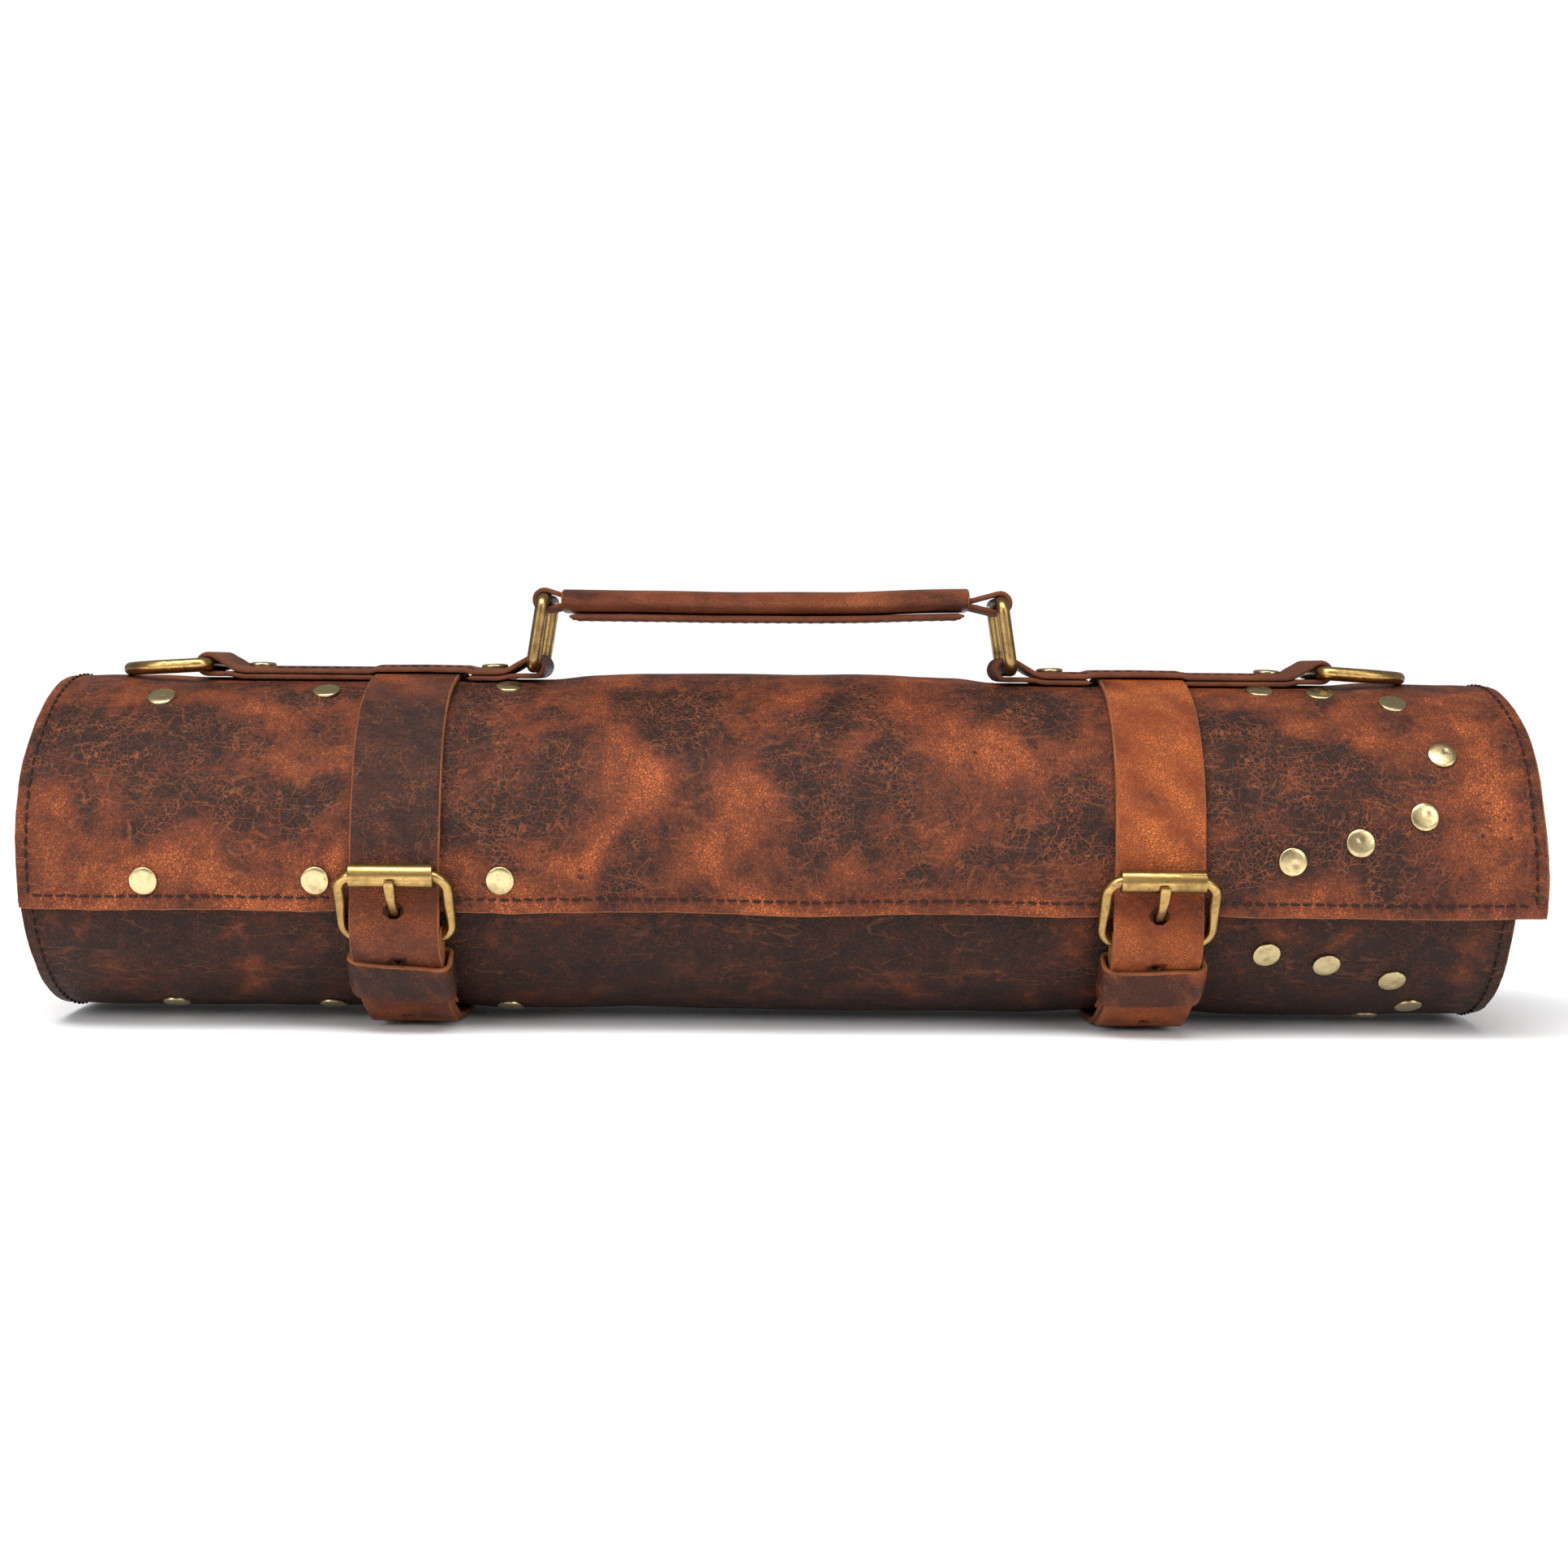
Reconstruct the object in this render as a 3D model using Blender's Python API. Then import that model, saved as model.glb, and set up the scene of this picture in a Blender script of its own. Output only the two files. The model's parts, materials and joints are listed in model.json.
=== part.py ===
"""Rolled leather brush case: a riveted, lined leather roll held by two buckled straps under a carrying handle.

X runs along the roll, the flap and the buckles face -Y, and Z is up. The straps' flat undersides lie at z = 0.
Dimensions are in millimetres and are turned into metres when each mesh is made. Angles round the roll are in
degrees from the front horizontal, positive upwards, about the roll's axis.
"""

from math import ceil, copysign, cos, pi, radians, sin

import bmesh
import bpy
from mathutils import Matrix, Vector

MM = 0.001
GAP = 0.3  # clearance between touching pieces

# The roll: a spiral of leather that starts at the flap's free edge and runs inwards over the top.
ROLL_HALF_LENGTH = 230.0
FLAP_RADIUS = 55.6
FLAP_ANGLE = -16.0
FIRST_TURN_PITCH = 4.5
INNER_CURL = 13.0  # how much more the later turns close in than the first
PANEL_T = 1.8
LINING_T = 1.2
POCKET_T = 1.4
PANEL_END = 830.0  # spiral angle of the panel's inner end
POCKET_START, POCKET_END = 420.0, 800.0
FACET = 10.0
INNER_LEFT_SHIFT = -1.0  # how far the skewed inner layer passes the flap's left end
INNER_RIGHT_SHIFT = -7.0  # and how far it stops short of the flap's right end

# Closing straps and their buckles.
BELT_X = {"left": -116.0, "right": 113.0}
BELT_WIDTH = 27.0
BELT_T = 2.2
TAIL_END_ANGLE = -62.0
TAIL_HOLE_ANGLES = (-30.8, -57.0)
TAIL_HOLE_R = 1.7
KEEPER_BACK_T = 1.4
KEEPER_T = 1.8
KEEPER_TOP, KEEPER_BOTTOM = -32.0, -45.0
BUCKLE_WIRE = 1.5  # wire radius
BUCKLE_BAR_ANGLE = -25.0
ROLLER_ANGLE = -3.5
ROLLER_R, ROLLER_LENGTH = 3.4, 25.0
BUCKLE_INNER_WIDTH = 29.6
PRONG_WIDTH, PRONG_T = 3.2, 2.4
PRONG_EYE_WALL = 1.3

# Handle, rings and base straps.
STRAP_T = 1.6
BASE_WIDTH = 25.0
RING_WIRE = 2.05
RING_INNER_WIDTH = 27.0
HANDLE_RING_RISE = 21.6  # between its two bars
HANDLE_RING_LEAN = 8.8  # inward lean at rest, degrees
HANDLE_BAR_X = {"left": -80.0, "right": 72.3}  # the rings' lower bars
D_BAR_X = {"left": -184.0, "right": 171.6}
D_RING_REACH = 27.8
D_RING_DROOP = 3.7
OPEN_PIVOT_PLAY = 1.3  # room for the right handle ring's lower bar as the handle folds
GRIP_X = (-71.2, 59.0)
GRIP_WIDTH, GRIP_HEIGHT = 26.4, 7.6
HANDLE_STRAP_WIDTH = 22.0
BACKING_T = 1.9

# Rivets, as (x, angle). Those on the under-layer below the flap are told by their angle.
RIVET_CAP_R, RIVET_CAP_H = 4.25, 1.2
RIVET_SHANK_R = 1.6
LEFT_ROWS = {
    "top": ((-194.0, 60.0), (-143.5, 65.0), (-87.0, 72.0)),
    "middle": ((-191.5, -6.5), (-140.0, -6.0), (-84.5, -5.5)),
    "bottom": ((-193.0, -70.0), (-143.0, -70.0), (-86.5, -70.0)),
}
RIGHT_ARCH = (
    (151.0, 73.0), (169.0, 69.0), (190.0, 61.0), (200.0, 36.5), (192.5, 15.5), (173.0, 7.5), (152.8, 1.8),
)
RIGHT_LOWER = ((148.5, -32.5), (167.5, -37.0), (189.0, -44.5), (198.0, -62.0), (188.0, -78.0))


def panel_radius(s):
    """Outer radius of the leather at spiral angle s, counted inwards from the flap's free edge."""
    later = max(0.0, (s - 330.0) / (PANEL_END - 330.0))
    return FLAP_RADIUS - FIRST_TURN_PITCH * s / 360.0 - INNER_CURL * later**1.6


STACK = PANEL_T + GAP + LINING_T
UNDER_R = panel_radius(340.0)  # the under-layer just below the flap
ROLL_TOP = panel_radius(90.0 - FLAP_ANGLE)
ROLL_BOTTOM = panel_radius(270.0 - FLAP_ANGLE)
AXIS_Z = ROLL_BOTTOM + GAP + BELT_T
FRONT_REACH = 67.46  # the prongs' tips
BACK_REACH = 55.65  # the straps' backs
AXIS_Y = (FRONT_REACH - BACK_REACH) / 2

# Strap stack in the keeper, outwards from the roll: keeper, fold end, under-strap, tail, keeper.
FOLD_R = UNDER_R + 0.4 + KEEPER_BACK_T + GAP + BELT_T / 2
UNDER_STRAP_R = FOLD_R + BELT_T + GAP
TAIL_R = UNDER_STRAP_R + BELT_T + GAP
BAR_R = (FOLD_R + UNDER_STRAP_R) / 2
ROLLER_CENTRE_R = FLAP_RADIUS + GAP + BELT_T + GAP + ROLLER_R


def polar(r, angle):
    """A point (y, z) at this radius and angle about the roll's axis."""
    return Vector((AXIS_Y - r * cos(radians(angle)), AXIS_Z + r * sin(radians(angle))))


# ---------------------------------------------------------------- materials

def material(name, colour, roughness, metallic):
    made = bpy.data.materials.new(name)
    made.use_nodes = True
    shader = made.node_tree.nodes["Principled BSDF"]
    shader.inputs["Base Color"].default_value = (*colour, 1.0)
    shader.inputs["Roughness"].default_value = roughness
    shader.inputs["Metallic"].default_value = metallic
    made.diffuse_color = (*colour, 1.0)
    return made


# ---------------------------------------------------------------- mesh helpers

def add_object(name, bm, mat, pivot=(0.0, 0.0, 0.0)):
    """Makes the object in metres, with its origin at pivot (in millimetres)."""
    bmesh.ops.recalc_face_normals(bm, faces=bm.faces)
    if bm.calc_volume(signed=True) < 0:
        bmesh.ops.reverse_faces(bm, faces=bm.faces)
    bmesh.ops.translate(bm, verts=bm.verts, vec=-Vector(pivot))
    bmesh.ops.scale(bm, verts=bm.verts, vec=(MM, MM, MM))
    mesh = bpy.data.meshes.new(name)
    bm.to_mesh(mesh)
    bm.free()
    if mat:
        mesh.materials.append(mat)
    mesh.shade_smooth()
    mesh.set_sharp_from_angle(angle=radians(35))
    obj = bpy.data.objects.new(name, mesh)
    obj.location = Vector(pivot) * MM
    bpy.context.scene.collection.objects.link(obj)
    return obj


def hide_cutter(obj):
    obj.hide_render = True
    obj.display_type = "WIRE"
    return obj


def cut(obj, cutter):
    modifier = obj.modifiers.new("holes", "BOOLEAN")
    modifier.operation = "DIFFERENCE"
    modifier.solver = "EXACT"
    modifier.object = cutter


def bridge_loop(bm, first, second):
    """Quads between two closed loops of vertices."""
    count = len(first)
    for i in range(count):
        j = (i + 1) % count
        bm.faces.new((first[i], first[j], second[j], second[i]))


def swept(sections, closed=False):
    """A closed body through loops of points, capped at its ends unless it closes on itself."""
    bm = bmesh.new()
    loops = [[bm.verts.new(p) for p in section] for section in sections]
    for first, second in zip(loops, loops[1:]):
        bridge_loop(bm, first, second)
    if closed:
        bridge_loop(bm, loops[-1], loops[0])
    else:
        bm.faces.new(loops[0])
        bm.faces.new(reversed(loops[-1]))
    return bm


def offset_sides(path, thickness):
    """The two sides of a flat strap whose middle line is path, as pairs of points with mitred corners."""
    pairs = []
    for i, point in enumerate(path):
        before = (path[i] - path[i - 1]).normalized() if i > 0 else None
        after = (path[i + 1] - path[i]).normalized() if i + 1 < len(path) else None
        along = ((before or after) + (after or before)).normalized()
        normal = Vector((-along.y, along.x))
        half = thickness / 2
        if before and after:
            half /= max(0.5, normal.dot(Vector((-before.y, before.x))))
        pairs.append((point + normal * half, point - normal * half))
    return pairs


def ribbon_along_x(pairs, x_low, x_high):
    """A strap whose (y, z) sides are given, extruded between two x values at each station."""
    sections = []
    for i, (a, b) in enumerate(pairs):
        lo, hi = x_low(i), x_high(i)
        sections.append([(lo, *a), (hi, *a), (hi, *b), (lo, *b)])
    return swept(sections)


def ribbon_along_y(path, thickness, width):
    """A strap whose middle line runs in the XZ plane, extruded along Y about the roll's axis."""
    lo, hi = AXIS_Y - width / 2, AXIS_Y + width / 2
    sections = [
        [(a.x, lo, a.y), (a.x, hi, a.y), (b.x, hi, b.y), (b.x, lo, b.y)]
        for a, b in offset_sides(path, thickness)
    ]
    return swept(sections)


def arc(centre, radius, start, end, steps):
    """Points of a circular arc, angles in degrees in the plane's own axes."""
    return [
        Vector((
            centre[0] + radius * cos(radians(start + (end - start) * i / steps)),
            centre[1] + radius * sin(radians(start + (end - start) * i / steps)),
        ))
        for i in range(steps + 1)
    ]


def wire_ring(outline, plane_x, plane_y, centre, wire_r, sides=8):
    """A closed round wire that follows a flat outline."""
    normal = plane_x.cross(plane_y)
    sections = []
    count = len(outline)
    for i in range(count):
        tangent = (outline[(i + 1) % count] - outline[i - 1]).normalized()
        inward = Vector((-tangent.y, tangent.x))
        place = centre + plane_x * outline[i].x + plane_y * outline[i].y
        side = plane_x * inward.x + plane_y * inward.y
        sections.append([
            place + wire_r * (side * cos(2 * pi * k / sides) + normal * sin(2 * pi * k / sides))
            for k in range(sides)
        ])
    return swept(sections, closed=True)


def rounded_rectangle(width, height, corner, steps=3):
    """Outline centred on the origin, counter-clockwise."""
    points = []
    for quarter, (sx, sy) in enumerate(((1, 1), (-1, 1), (-1, -1), (1, -1))):
        centre = (sx * (width / 2 - corner), sy * (height / 2 - corner))
        points += arc(centre, corner, 90 * quarter, 90 * quarter + 90, steps)
    return points


def turned(profile, steps):
    """A body turned about Z from (radius, height) points, the first and last of which lie on the axis."""
    bm = bmesh.new()
    first = bm.verts.new((0, 0, profile[0][1]))
    last = bm.verts.new((0, 0, profile[-1][1]))
    loops = [
        [
            bm.verts.new((r * cos(2 * pi * k / steps), r * sin(2 * pi * k / steps), z))
            for k in range(steps)
        ]
        for r, z in profile[1:-1]
    ]
    for upper, lower in zip(loops, loops[1:]):
        bridge_loop(bm, upper, lower)
    for k in range(steps):
        j = (k + 1) % steps
        bm.faces.new((loops[0][k], loops[0][j], first))
        bm.faces.new((loops[-1][j], loops[-1][k], last))
    return bm


def box_bm(low, high):
    bm = bmesh.new()
    bmesh.ops.create_cube(bm, size=1.0)
    centre = (Vector(low) + Vector(high)) / 2
    bmesh.ops.scale(bm, verts=bm.verts, vec=Vector(high) - Vector(low))
    bmesh.ops.translate(bm, verts=bm.verts, vec=centre)
    return bm


def joined(parts):
    """Several separate closed bodies as one mesh, for a cutter."""
    whole = bmesh.new()
    for part in parts:
        mesh = bpy.data.meshes.new("part")
        bmesh.ops.recalc_face_normals(part, faces=part.faces)
        part.to_mesh(mesh)
        part.free()
        whole.from_mesh(mesh)
        bpy.data.meshes.remove(mesh)
    return whole


def radial_frame(x, angle, r):
    """The matrix that puts local Z on the outward direction at this place on the roll."""
    out = Vector((0, -cos(radians(angle)), sin(radians(angle))))
    along = Vector((1, 0, 0))
    place = Vector((x, *polar(r, angle)))
    return Matrix.Translation(place) @ Matrix((along, out.cross(along), out)).transposed().to_4x4()


# ---------------------------------------------------------------- the roll

def spiral_angle(angle):
    """Spiral angle in the outermost turn of a place at this angle round the roll."""
    return (angle - FLAP_ANGLE) % 360.0


def spiral_stations(start, end):
    """Spiral angles on the roll's common facet grid, plus the two ends."""
    first = ceil((start + FLAP_ANGLE) / FACET + 0.3)
    last = int((end + FLAP_ANGLE) / FACET - 0.3)
    grid = [FACET * k - FLAP_ANGLE for k in range(first, last + 1)]
    return [start, *grid, end]


def roll_sheet(start, end, depth, thickness, left_inset, right_inset):
    """A sheet of the roll, depth below the leather's outer face, between two spiral angles."""
    stations = spiral_stations(start, end)
    pairs = [
        (
            polar(panel_radius(s) - depth, s + FLAP_ANGLE),
            polar(panel_radius(s) - depth - thickness, s + FLAP_ANGLE),
        )
        for s in stations
    ]
    skew = [min(1.0, s / 344.0) for s in stations]
    return ribbon_along_x(
        pairs,
        lambda i: -ROLL_HALF_LENGTH + left_inset + INNER_LEFT_SHIFT * skew[i],
        lambda i: ROLL_HALF_LENGTH - right_inset + INNER_RIGHT_SHIFT * skew[i],
    )


def rivet_places():
    """(name, x, angle) of each rivet that holds the pockets to the roll."""
    places = []
    for row, row_places in LEFT_ROWS.items():
        for column, (x, angle) in enumerate(row_places, 1):
            places.append((f"rivet_left_{row}_{column}", x, angle))
    for number, (x, angle) in enumerate(RIGHT_ARCH, 1):
        places.append((f"rivet_arch_{number}", x, angle))
    for number, (x, angle) in enumerate(RIGHT_LOWER, 1):
        places.append((f"rivet_lower_{number}", x, angle))
    return places


def drilled(radius, above, below, matrix):
    """A cutter along the matrix's Z, from above its origin to below it."""
    hole = turned(((0, above), (radius, above), (radius, -below), (0, -below)), 8)
    bmesh.ops.transform(hole, matrix=matrix, verts=hole.verts)
    return hole


def rivet_profile(grip):
    """A domed cap above z = 0, a shank, and a flat back cap whose inner face is grip below."""
    return (
        (0, RIVET_CAP_H),
        (RIVET_CAP_R * 0.93, RIVET_CAP_H * 0.5),
        (RIVET_CAP_R, 0),
        (RIVET_SHANK_R, 0),
        (RIVET_SHANK_R, -grip),
        (RIVET_SHANK_R * 1.9, -grip),
        (RIVET_SHANK_R * 1.9, -grip - 0.45),
        (0, -grip - 0.45),
    )


def build_roll(leather, lining, pocket, rivet_metal):
    panel = add_object("outer_panel", roll_sheet(0.0, PANEL_END, 0.0, PANEL_T, 0.0, 0.0), leather)
    liner = add_object(
        "lining_panel", roll_sheet(0.8, PANEL_END - 1.0, PANEL_T + GAP, LINING_T, 0.8, -1.0), lining
    )
    add_object(
        "brush_pocket_panel", roll_sheet(POCKET_START, POCKET_END, STACK + GAP, POCKET_T, 16.0, 16.0), pocket
    )

    frames = [radial_frame(x, 90.0, ROLL_TOP) for side in BELT_X for x in base_rivet_x(side)]
    for name, x, angle in rivet_places():
        r = panel_radius(spiral_angle(angle))
        rivet = turned(rivet_profile(STACK + 0.5), 10)
        bmesh.ops.transform(rivet, matrix=radial_frame(x, angle, r + 0.1), verts=rivet.verts)
        add_object(name, rivet, rivet_metal)
        frames.append(radial_frame(x, angle, r))
    holes = [drilled(RIVET_SHANK_R + GAP, 1.0, STACK + 0.5, frame) for frame in frames]
    cutter = hide_cutter(add_object("rivet_hole_cutter", joined(holes), None))
    cut(panel, cutter)
    cut(liner, cutter)


# ---------------------------------------------------------------- closing straps

def belt_path():
    """Middle line of one closing strap, from the tail's tip round the roll to its folded end."""
    tail = [polar(TAIL_R, a) for a in (TAIL_END_ANGLE, -57, -52, -47, -42, -37, -31.5)]
    over_bar = [polar(TAIL_R + 1.2, -28.5), polar(TAIL_R + 1.75, -25), polar(TAIL_R + 1.0, -21)]
    behind_roller = [polar(59.3, -17.0), polar(57.9, -13.0), polar(57.0, -9.0)]
    round_roll = []
    for angle in range(0, 260, 10):
        round_roll.append(polar(panel_radius(spiral_angle(angle)) + GAP + BELT_T / 2, angle))
    flat_z = BELT_T / 2
    bottom = [Vector((AXIS_Y + side * 9.7, flat_z)) for side in (1, -1)]
    rising = [polar(UNDER_STRAP_R - 1.2, -72), polar(UNDER_STRAP_R, -65)]
    under = [polar(UNDER_STRAP_R, a) for a in (-60, -55, -50, -45, -40, -35, -31)]
    bar = polar(BAR_R, BUCKLE_BAR_ANGLE)
    bend = BUCKLE_WIRE + GAP + BELT_T / 2
    outward = 180.0 - BUCKLE_BAR_ANGLE
    fold = arc(bar, bend, outward, outward - 180.0, 6)
    back = [polar(FOLD_R, a) for a in (-31, -35, -40, -45, -50, -55, -59)]
    return tail + over_bar + behind_roller + round_roll + bottom + rising + under + fold + back


def prong_centres():
    """Middle line of a prong in the (y, z) plane, from its eye on the bar to its tip on the roller."""
    bar = polar(BAR_R, BUCKLE_BAR_ANGLE)
    tip = polar(ROLLER_CENTRE_R + ROLLER_R + GAP + PRONG_T / 2, ROLLER_ANGLE - 1.0)
    return [bar + Vector((-0.6, 2.4)), bar + Vector((-5.4, 7.6)), bar + Vector((-12.0, 13.0)), tip]


def build_closing_strap(side, leather, brass):
    x = BELT_X[side]
    half = BELT_WIDTH / 2
    belt = add_object(
        f"closing_strap_{side}",
        ribbon_along_x(offset_sides(belt_path(), BELT_T), lambda i: x - half, lambda i: x + half),
        leather,
    )
    reach = BELT_T / 2 + 0.2
    tail_holes = [
        drilled(TAIL_HOLE_R, reach, reach, radial_frame(x, angle, TAIL_R)) for angle in TAIL_HOLE_ANGLES
    ]
    cut(belt, hide_cutter(add_object(f"tail_hole_cutter_{side}", joined(tail_holes), None)))

    # The prong's hole in the strap, long enough for the prong's tilt, and the slot in the fold for its eye.
    start, middle = prong_centres()[1:3]
    along = (middle - start).normalized()
    across = Vector((-along.y, along.x))
    low, high = start - along * 3.0, middle + along
    hole = [low + across * 5.0, high + across * 5.0, high - across * 3.0, low - across * 3.0]
    bar = polar(BAR_R, BUCKLE_BAR_ANGLE)
    slot = arc(bar, BUCKLE_WIRE + GAP + BELT_T + 0.25, 0, 360, 12)[:-1]
    width = PRONG_WIDTH / 2 + 0.7
    for name, outline in (("prong_hole", hole), ("fold_slot", slot)):
        cutter = swept([[(x + dx, *p) for p in outline] for dx in (-width, width)])
        cut(belt, hide_cutter(add_object(f"{name}_cutter_{side}", cutter, None)))

    build_buckle(side, x, brass)
    build_keeper(side, x, leather)


def circle_across_x(x, centre, radius):
    """Points of a circle about a (y, z) centre, in the plane at this x."""
    return [(x, *p) for p in arc(centre, radius, 0, 360, 12)[:-1]]


def disc_along_x(x, centre, radius, half_width):
    return swept([circle_across_x(x + dx, centre, radius) for dx in (-half_width, half_width)])


def build_buckle(side, x, brass):
    bar = polar(BAR_R, BUCKLE_BAR_ANGLE)
    roller = polar(ROLLER_CENTRE_R, ROLLER_ANGLE)
    up = Vector((0, *(roller - bar))).normalized()
    height = (roller - bar).length
    centre = Vector((x, *((roller + bar) / 2)))
    outline = rounded_rectangle(BUCKLE_INNER_WIDTH + 2 * BUCKLE_WIRE, height, 2.6)
    add_object(
        f"buckle_frame_{side}",
        wire_ring(outline, Vector((1, 0, 0)), up, centre, BUCKLE_WIRE),
        brass,
    )

    inner = BUCKLE_WIRE + GAP
    sections = [
        circle_across_x(x + dx * ROLLER_LENGTH, roller, r)
        for dx, r in ((-0.5, ROLLER_R), (0.5, ROLLER_R), (0.5, inner), (-0.5, inner))
    ]
    add_object(f"buckle_roller_{side}", swept(sections, closed=True), brass, (x, *roller))

    half = PRONG_WIDTH / 2
    shaft = offset_sides(prong_centres(), PRONG_T)
    prong = add_object(
        f"buckle_prong_{side}", ribbon_along_x(shaft, lambda i: x - half, lambda i: x + half), brass, (x, *bar)
    )
    eye = hide_cutter(add_object(f"prong_eye_{side}", disc_along_x(x, bar, inner + PRONG_EYE_WALL, half), None))
    join = prong.modifiers.new("eye", "BOOLEAN")
    join.operation = "UNION"
    join.solver = "EXACT"
    join.object = eye
    cut(prong, hide_cutter(add_object(f"prong_bore_{side}", disc_along_x(x, bar, inner, half + 1), None)))


def build_keeper(side, x, leather):
    half = BELT_WIDTH / 2 + GAP
    inner = (UNDER_R + 0.4 + KEEPER_BACK_T, TAIL_R + BELT_T / 2 + GAP)
    outer = (UNDER_R + 0.4, inner[1] + KEEPER_T)
    wall = half + KEEPER_T
    steps = 3
    angles = [KEEPER_TOP + (KEEPER_BOTTOM - KEEPER_TOP) * i / steps for i in range(steps + 1)]

    def section(angle, reach, radii):
        low, high = radii
        corners = ((-reach, low), (reach, low), (reach, high), (-reach, high))
        return [(x + dx, *polar(r, angle)) for dx, r in corners]

    sections = [section(angle, wall, outer) for angle in angles]
    sections += [section(angle, half, inner) for angle in reversed(angles)]
    add_object(f"keeper_loop_{side}", swept(sections, closed=True), leather, (x, *polar(0.0, 0.0)))


# ---------------------------------------------------------------- handle base straps and rings

LOOP_R = RING_WIRE + 0.25 + STRAP_T / 2  # a loop's middle line about the bar that it holds
LOW_LAYER_Z = AXIS_Z + ROLL_TOP + GAP + STRAP_T / 2
TOP_LAYER_Z = LOW_LAYER_Z + STRAP_T + GAP
OVER_BELT_Z = AXIS_Z + ROLL_TOP + GAP + BELT_T + GAP + STRAP_T / 2
BAR_Z = LOW_LAYER_Z + LOOP_R


def base_rivet_x(side):
    """Where the inner and the outer rivet of a base strap stand."""
    sign = -1 if side == "left" else 1
    return HANDLE_BAR_X[side] + sign * 14.0, D_BAR_X[side] - sign * 14.5


def base_path(side, sign):
    """Middle line (x, z) of a base strap, mirrored by sign so that it reads from the handle outwards."""
    def at(x, z):
        return Vector((sign * x, z))

    ring_x = sign * HANDLE_BAR_X[side] - (OPEN_PIVOT_PLAY if side == "right" else 0.0)
    d_x = sign * D_BAR_X[side]
    belt_x = sign * BELT_X[side]
    under = BELT_WIDTH / 2 + 1.5
    points = [at(belt_x - under, LOW_LAYER_Z)]
    points += [at(p.x, p.y) for p in arc((ring_x, BAR_Z), LOOP_R, 270, 90, 6)]
    points += [
        at(sign * HANDLE_BAR_X[side] + 0.6, BAR_Z + LOOP_R),
        at(sign * HANDLE_BAR_X[side] + 7.4, TOP_LAYER_Z + 0.5),
        at(sign * HANDLE_BAR_X[side] + 9.3, TOP_LAYER_Z),
        at(belt_x - under - 1.5, TOP_LAYER_Z),
        at(belt_x - under + 1.0, OVER_BELT_Z),
        at(belt_x + under - 1.0, OVER_BELT_Z),
        at(belt_x + under + 1.5, TOP_LAYER_Z),
        at(d_x - 9.3, TOP_LAYER_Z),
        at(d_x - 7.4, TOP_LAYER_Z + 0.5),
    ]
    points += [at(p.x, p.y) for p in arc((d_x, BAR_Z), LOOP_R, 110, -90, 7)]
    points.append(at(belt_x + under, LOW_LAYER_Z))
    return points


def build_base_strap(side, sign, leather, brass, rivet_metal):
    base = add_object(
        f"handle_base_{side}", ribbon_along_y(base_path(side, sign), STRAP_T, BASE_WIDTH), leather
    )
    top = TOP_LAYER_Z + STRAP_T / 2
    holes = []
    for name, x in zip(("inner", "outer"), base_rivet_x(side)):
        rivet = turned(rivet_profile(top - AXIS_Z - ROLL_TOP + STACK + 0.5), 10)
        bmesh.ops.translate(rivet, verts=rivet.verts, vec=(x, AXIS_Y, top + 0.1))
        add_object(f"rivet_base_{side}_{name}", rivet, rivet_metal)
        holes.append(drilled(RIVET_SHANK_R + GAP, 1.0, 5.0, Matrix.Translation((x, AXIS_Y, top))))
    cut(base, hide_cutter(add_object(f"base_hole_cutter_{side}", joined(holes), None)))

    # D-ring: a straight bar in the strap's outer loop and a round bow that lies outwards on the roll.
    half = RING_INNER_WIDTH / 2 + RING_WIRE
    bow_x = D_RING_REACH - half
    outline = arc((bow_x, 0), half, -90, 90, 10)
    outline += arc((2.5, half - 2.5), 2.5, 90, 180, 2) + arc((2.5, -half + 2.5), 2.5, 180, 270, 2)
    droop = radians(D_RING_DROOP)
    out = Vector((sign * cos(droop), 0, -sin(droop)))
    bar = Vector((D_BAR_X[side], AXIS_Y, BAR_Z))
    add_object(f"d_ring_{side}", wire_ring(outline, out, Vector((0, 1, 0)), bar, RING_WIRE), brass, bar)

    # Handle ring: stands up between the base strap's inner loop and the handle's end loop.
    lean = radians(HANDLE_RING_LEAN) * sign
    up = Vector((-sin(lean), 0, cos(lean)))
    low = Vector((HANDLE_BAR_X[side], AXIS_Y, BAR_Z))
    outline = rounded_rectangle(2 * half, HANDLE_RING_RISE, 3.0)
    centre = low + up * HANDLE_RING_RISE / 2
    pivot = low if side == "left" else low + up * HANDLE_RING_RISE
    ring = wire_ring(outline, Vector((0, 1, 0)), up, centre, RING_WIRE)
    add_object(f"handle_ring_{side}", ring, brass, pivot)


# ---------------------------------------------------------------- handle

def upper_bar(side):
    sign = -1 if side == "left" else 1
    lean = radians(HANDLE_RING_LEAN)
    return Vector((
        HANDLE_BAR_X[side] - sign * HANDLE_RING_RISE * sin(lean),
        BAR_Z + HANDLE_RING_RISE * cos(lean),
    ))


def handle_strap_path():
    """Middle line of the handle's inner strap, a flat loop round both rings' upper bars, butted below."""
    left, right = upper_bar("left"), upper_bar("right")
    z = left.y - 0.2
    apart = (STRAP_T + GAP) / 2
    lower, upper = z - apart, z + apart
    meet = (GRIP_X[0] + GRIP_X[1]) / 2
    points = [Vector((meet - 0.2, lower)), Vector((left.x + 8.0, lower))]
    points += arc(left, LOOP_R, -75, -285, 8)
    points += [Vector((left.x + 8.0, upper)), Vector((right.x - 9.0, upper))]
    points += arc(right, LOOP_R, 105, -105, 8)
    points += [Vector((right.x - 9.0, lower)), Vector((meet + 0.2, lower))]
    return points, z


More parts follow.
